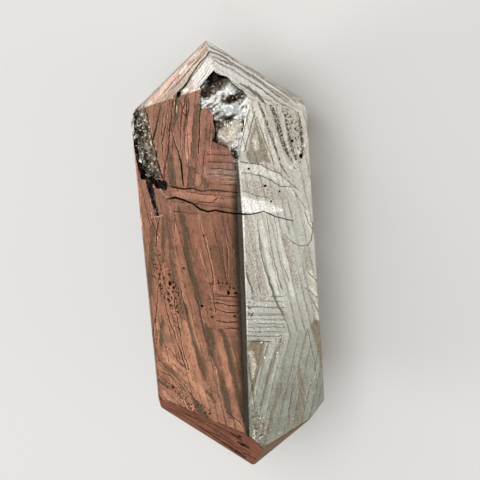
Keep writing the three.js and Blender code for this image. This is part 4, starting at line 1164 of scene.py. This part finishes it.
def broken_iron():
    """The shader for every face that the saw didn't cut."""
    index = iron_material("broken_iron")
    iron = Wire.tree.nodes["Principled BSDF"]
    place = front_place()
    spot = pushed(vectors("MULTIPLY", place, (1, 1, 0)), *BROKEN_BENDS)
    grit = grain(place, *GRIT)
    bits = grain(place, *BITS)
    fine = grain(place, *FINE_CRUMBS)
    # Each crystal has a tone of its own. Cracks in the front faces are darker and get no painted glints.
    cell = Wire.node("ShaderNodeTexVoronoi", {}, {"Vector": spot, "Scale": CRYSTALS_TO_MM}, "Color")
    crystal = Wire.node("ShaderNodeSeparateColor", {}, {0: cell})
    behind = 1.0 - dot(place, (0, 0, 1)).rise(*FRONT_BEGINS)
    natural = inside(spot, CORNER_BREAK + CRUST_HOLLOW, EVERYWHERE).rise(*NATURAL_BORDER).most(behind)
    # Painted glints: bright specks of caught light on the natural breaks.
    painted_glint = grain(place, *GLINTS).rise(*GLINT_SHOWS) * natural
    # A dark crust of two tones, with paler patches, olive in the hollow, darkest in the cracks, and painted
    # glints.
    patches = grain(place, *CRUST_PATCHES).rise(*PATCH_SHOWS) * bits.rise(*BITS_SHOW)
    crust = mixed(patches * PATCH_COVER, two_toned(grit, *CRUST_TONES), mixed(crystal, *CRUST_CRYSTALS))
    olive = inside(spot, CRUST_OLIVE, EVERYWHERE).rise(*CRUST_BORDER)
    crust = mixed(olive * OLIVE_COVER, crust, two_toned(grain(place, *OLIVE_GRAIN), *OLIVE_TONES))
    crust = mixed(natural, two_toned(grit, *CRACK_TONES), crust)
    crust = mixed(painted_glint, crust, CRUST_PAINTED_GLINT)
    # Clean iron broke along its plates, in bright sheets with dark gaps.
    sheets = strokes(spot, *SHEETS)
    fresh = mixed(sheets.rise(*SHEETS_SHOW), mixed(crystal, *GAP_CRYSTALS), BRIGHT_SHEET)
    fresh = mixed(grit.rise(*GRIT_SHOWS) * GRIT_COVER, fresh, FRESH_GRIT)
    crumb = crystal * CRUMB_BY_CRYSTAL + fine.rise(*CRUMBS_SHOW) * CRUMB_BY_NOISE
    fresh = covered(fresh, mixed(crumb, *CRUMB_TONES), spot, CORNER_CRUMBS, CRUMBS_BORDER)
    fresh = covered(fresh, two_toned(grit, *BROWN_TONES), spot, CORNER_BROWN, CRUMBS_BORDER)
    fresh = covered(fresh, LENS_TONE, spot, CORNER_LENS, LENS_BORDER)
    darks = mixed(fine.rise(*DARKS_LIT) * crystal.rise(*DARKS_CLEAN), *DARK_TONES)
    darks = mixed(painted_glint, darks, DARK_PAINTED_GLINT)
    fresh = covered(fresh, darks, spot, CORNER_DARKS_AND_SHADOW, DARKS_BORDER)
    crust = covered(crust, fresh, spot, CORNER_BREAK, CORNER_BORDER)
    # The deep places, and painted glints on the rim of the crust, where its far wall catches light.
    deep = (attribute("depth") + grit * HOLLOW_RAG).rise(*HOLLOW_DEPTH)
    crust = mixed(deep, crust, mixed(fine.rise(*HOLLOW_LIT) * natural, *HOLLOW_TONES))
    rim = inside(spot, CRUST_RIM, EVERYWHERE).rise(*CRUST_BORDER)
    crust = mixed(rim * grain(place, *RIM_GRAIN).rise(*RIM_SHOWS), crust, RIM_PAINTED_GLINT)
    Wire.tree.links.new(crust.socket, iron.inputs["Base Color"])
    iron.inputs["Metallic"].default_value = BROKEN_METAL
    iron.inputs["Roughness"].default_value = BROKEN_ROUGHNESS
    return index


# Which of the stone's faces has which finish. What the break left standing of a sawn face is finished
# with the break.
CORNER_OUTLINE = (
    (-0.1, 19.5), (-0.9, 18.9), (-1.5, 18.2), (-1.7, 17.2), (-1.8, 16.5), (-1.6, 16.0), (-1.0, 16.2),
    (-0.6, 15.3), (-0.5, 14.1), (-0.8, 12.8), (0.0, 12.3), (0.9, 12.0), (1.0, 10.7), (1.2, 10.1),
    (1.6, 11.0), (1.7, 12.2), (2.2, 13.8), (2.7, 15.7), (3.1, 16.8), (2.5, 17.5), (1.9, 18.1),
    (1.0, 19.0),
)
# A front face has a material for each stretch of this length. A face that leans this much is an end's.
STRETCH_LENGTH = 7.0
END_LEAN = 0.3


def within(spots, outline):
    """Which spots of the front view lie inside a closed outline."""
    found = np.zeros(len(spots), bool)
    for (x0, y0), (x1, y1) in zip(outline, outline[1:] + outline[:1]):
        between = (y0 > spots[:, 1]) != (y1 > spots[:, 1])
        rise, run = abs(y1 - y0), (x1 - x0) * np.sign(y1 - y0)
        found ^= between & ((spots[:, 0] - x0) * rise < (spots[:, 1] - y0) * run)
    return found


middles = points[faces].mean(axis=1) - np.array(CORE)
spots = np.stack([middles @ rightward, middles[:, 1]], axis=1)
slot_of_face = np.full(len(faces), broken_iron())
shown = sawn & (facing @ outward > SEEN_FROM_FRONT) & ~within(spots, CORNER_OUTLINE)
slot_of_face[sawn & (facing @ outward <= SEEN_FROM_FRONT)] = etched_round()
ends = np.where(facing[:, 1] > END_LEAN, "head_", np.where(facing[:, 1] < -END_LEAN, "foot_", ""))
sides = np.char.add(ends.astype(str), np.where(facing @ rightward > 0, "right", "left"))
stretches = np.floor(spots[:, 1] / STRETCH_LENGTH).astype(int)
for side in FRONT_FIELDS:
    for number in np.unique(stretches[shown & (sides == side)]):
        here = shown & (sides == side) & (stretches == number)
        corners = points[faces[here]].reshape(-1, 3) - np.array(CORE)
        seen = np.stack([corners @ rightward, corners[:, 1]], axis=1)
        slot_of_face[here] = etched_front(side, (seen.min(axis=0), seen.max(axis=0)))
stone_mesh.polygons.foreach_set("material_index", slot_of_face.astype(np.int32))

# The camera looks at the front ridge square on, a little from the head end, from arm's length.
CAMERA_DISTANCE = 165.8
CAMERA_TILT = math.radians(13.4)
CAMERA_ROLL = math.radians(-4.7)
CAMERA_AIM = (1.12, 0.67, 0.0)
PIXELS_PER_MM = 9.5
FRAME_PIXELS = 480
SENSOR_MM = 36.0
CLIP_START = 0.01


def front_view(right, up, out):
    """A place or direction given right, up and out in the front view, along the row's axes."""
    return Vector((
        right * math.cos(FRONT_TURN) + out * math.sin(FRONT_TURN),
        up,
        -right * math.sin(FRONT_TURN) + out * math.cos(FRONT_TURN),
    ))


eye = front_view(0, math.sin(CAMERA_TILT), math.cos(CAMERA_TILT)) * CAMERA_DISTANCE
ahead = (front_view(*CAMERA_AIM) - eye).normalized()
level_right = ahead.cross(front_view(0, 1, 0)).normalized()
level_up = level_right.cross(ahead)
camera_right = level_right * math.cos(CAMERA_ROLL) + level_up * math.sin(CAMERA_ROLL)
camera_up = level_up * math.cos(CAMERA_ROLL) - level_right * math.sin(CAMERA_ROLL)
lens = bpy.data.cameras.new("camera")
lens.sensor_width = SENSOR_MM
lens.lens = SENSOR_MM * PIXELS_PER_MM * CAMERA_DISTANCE / FRAME_PIXELS
lens.clip_start = CLIP_START
camera = bpy.data.objects.new("camera", lens)
bpy.context.collection.objects.link(camera)
camera.matrix_world = (
    Matrix.Translation((eye + CORE) / TO_MM)
    @ Matrix((camera_right, camera_up, -ahead)).transposed().to_4x4()
)
bpy.context.scene.camera = camera

# A table top under the stone: a plain board, painted in a pale matt colour. Metres from here on.
TABLE_HALF = 0.6
TABLE_COLOUR = (0.74, 0.73, 0.71, 1)
TABLE_ROUGHNESS = 0.8
table_corners = [(x * TABLE_HALF, y * TABLE_HALF, 0) for x, y in ((-1, -1), (1, -1), (1, 1), (-1, 1))]
table_mesh = bpy.data.meshes.new("table")
table_mesh.from_pydata(table_corners, [], [(0, 1, 2, 3)])
table = bpy.data.objects.new("table", table_mesh)
bpy.context.collection.objects.link(table)
paint = bpy.data.materials.new("table_paint")
paint.use_nodes = True
paint_shader = paint.node_tree.nodes["Principled BSDF"]
paint_shader.inputs["Base Color"].default_value = TABLE_COLOUR
paint_shader.inputs["Roughness"].default_value = TABLE_ROUGHNESS
table_mesh.materials.append(paint)

# Soft studio light: a large lamp on each side, one at the head, one above, and a dim room. Each lamp
# has a place, a width and a power in watts, and shines at the origin.
LAMPS = (
    ("lamp_left", (-0.42, -0.12, 0.14), 0.16, 0.75),
    ("lamp_right", (0.43, -0.06, 0.10), 0.2, 0.35),
    ("lamp_head", (-0.2, 0.35, 0.15), 0.25, 0.3),
    ("lamp_above", (0.05, 0.1, 0.5), 0.4, 1.2),
)
for name, place, size, power in LAMPS:
    light = bpy.data.lights.new(name, "AREA")
    light.size = size
    light.energy = power
    lamp = bpy.data.objects.new(name, light)
    bpy.context.collection.objects.link(lamp)
    lamp.location = place
    lamp.rotation_euler = (-Vector(place)).to_track_quat("-Z", "Y").to_euler()
ROOM_LIGHT = (0.5, 0.5, 0.5, 1)
room = bpy.data.worlds.new("room")
room.use_nodes = True
room.node_tree.nodes["Background"].inputs["Color"].default_value = ROOM_LIGHT
bpy.context.scene.world = room
bpy.context.scene.view_settings.view_transform = "Standard"
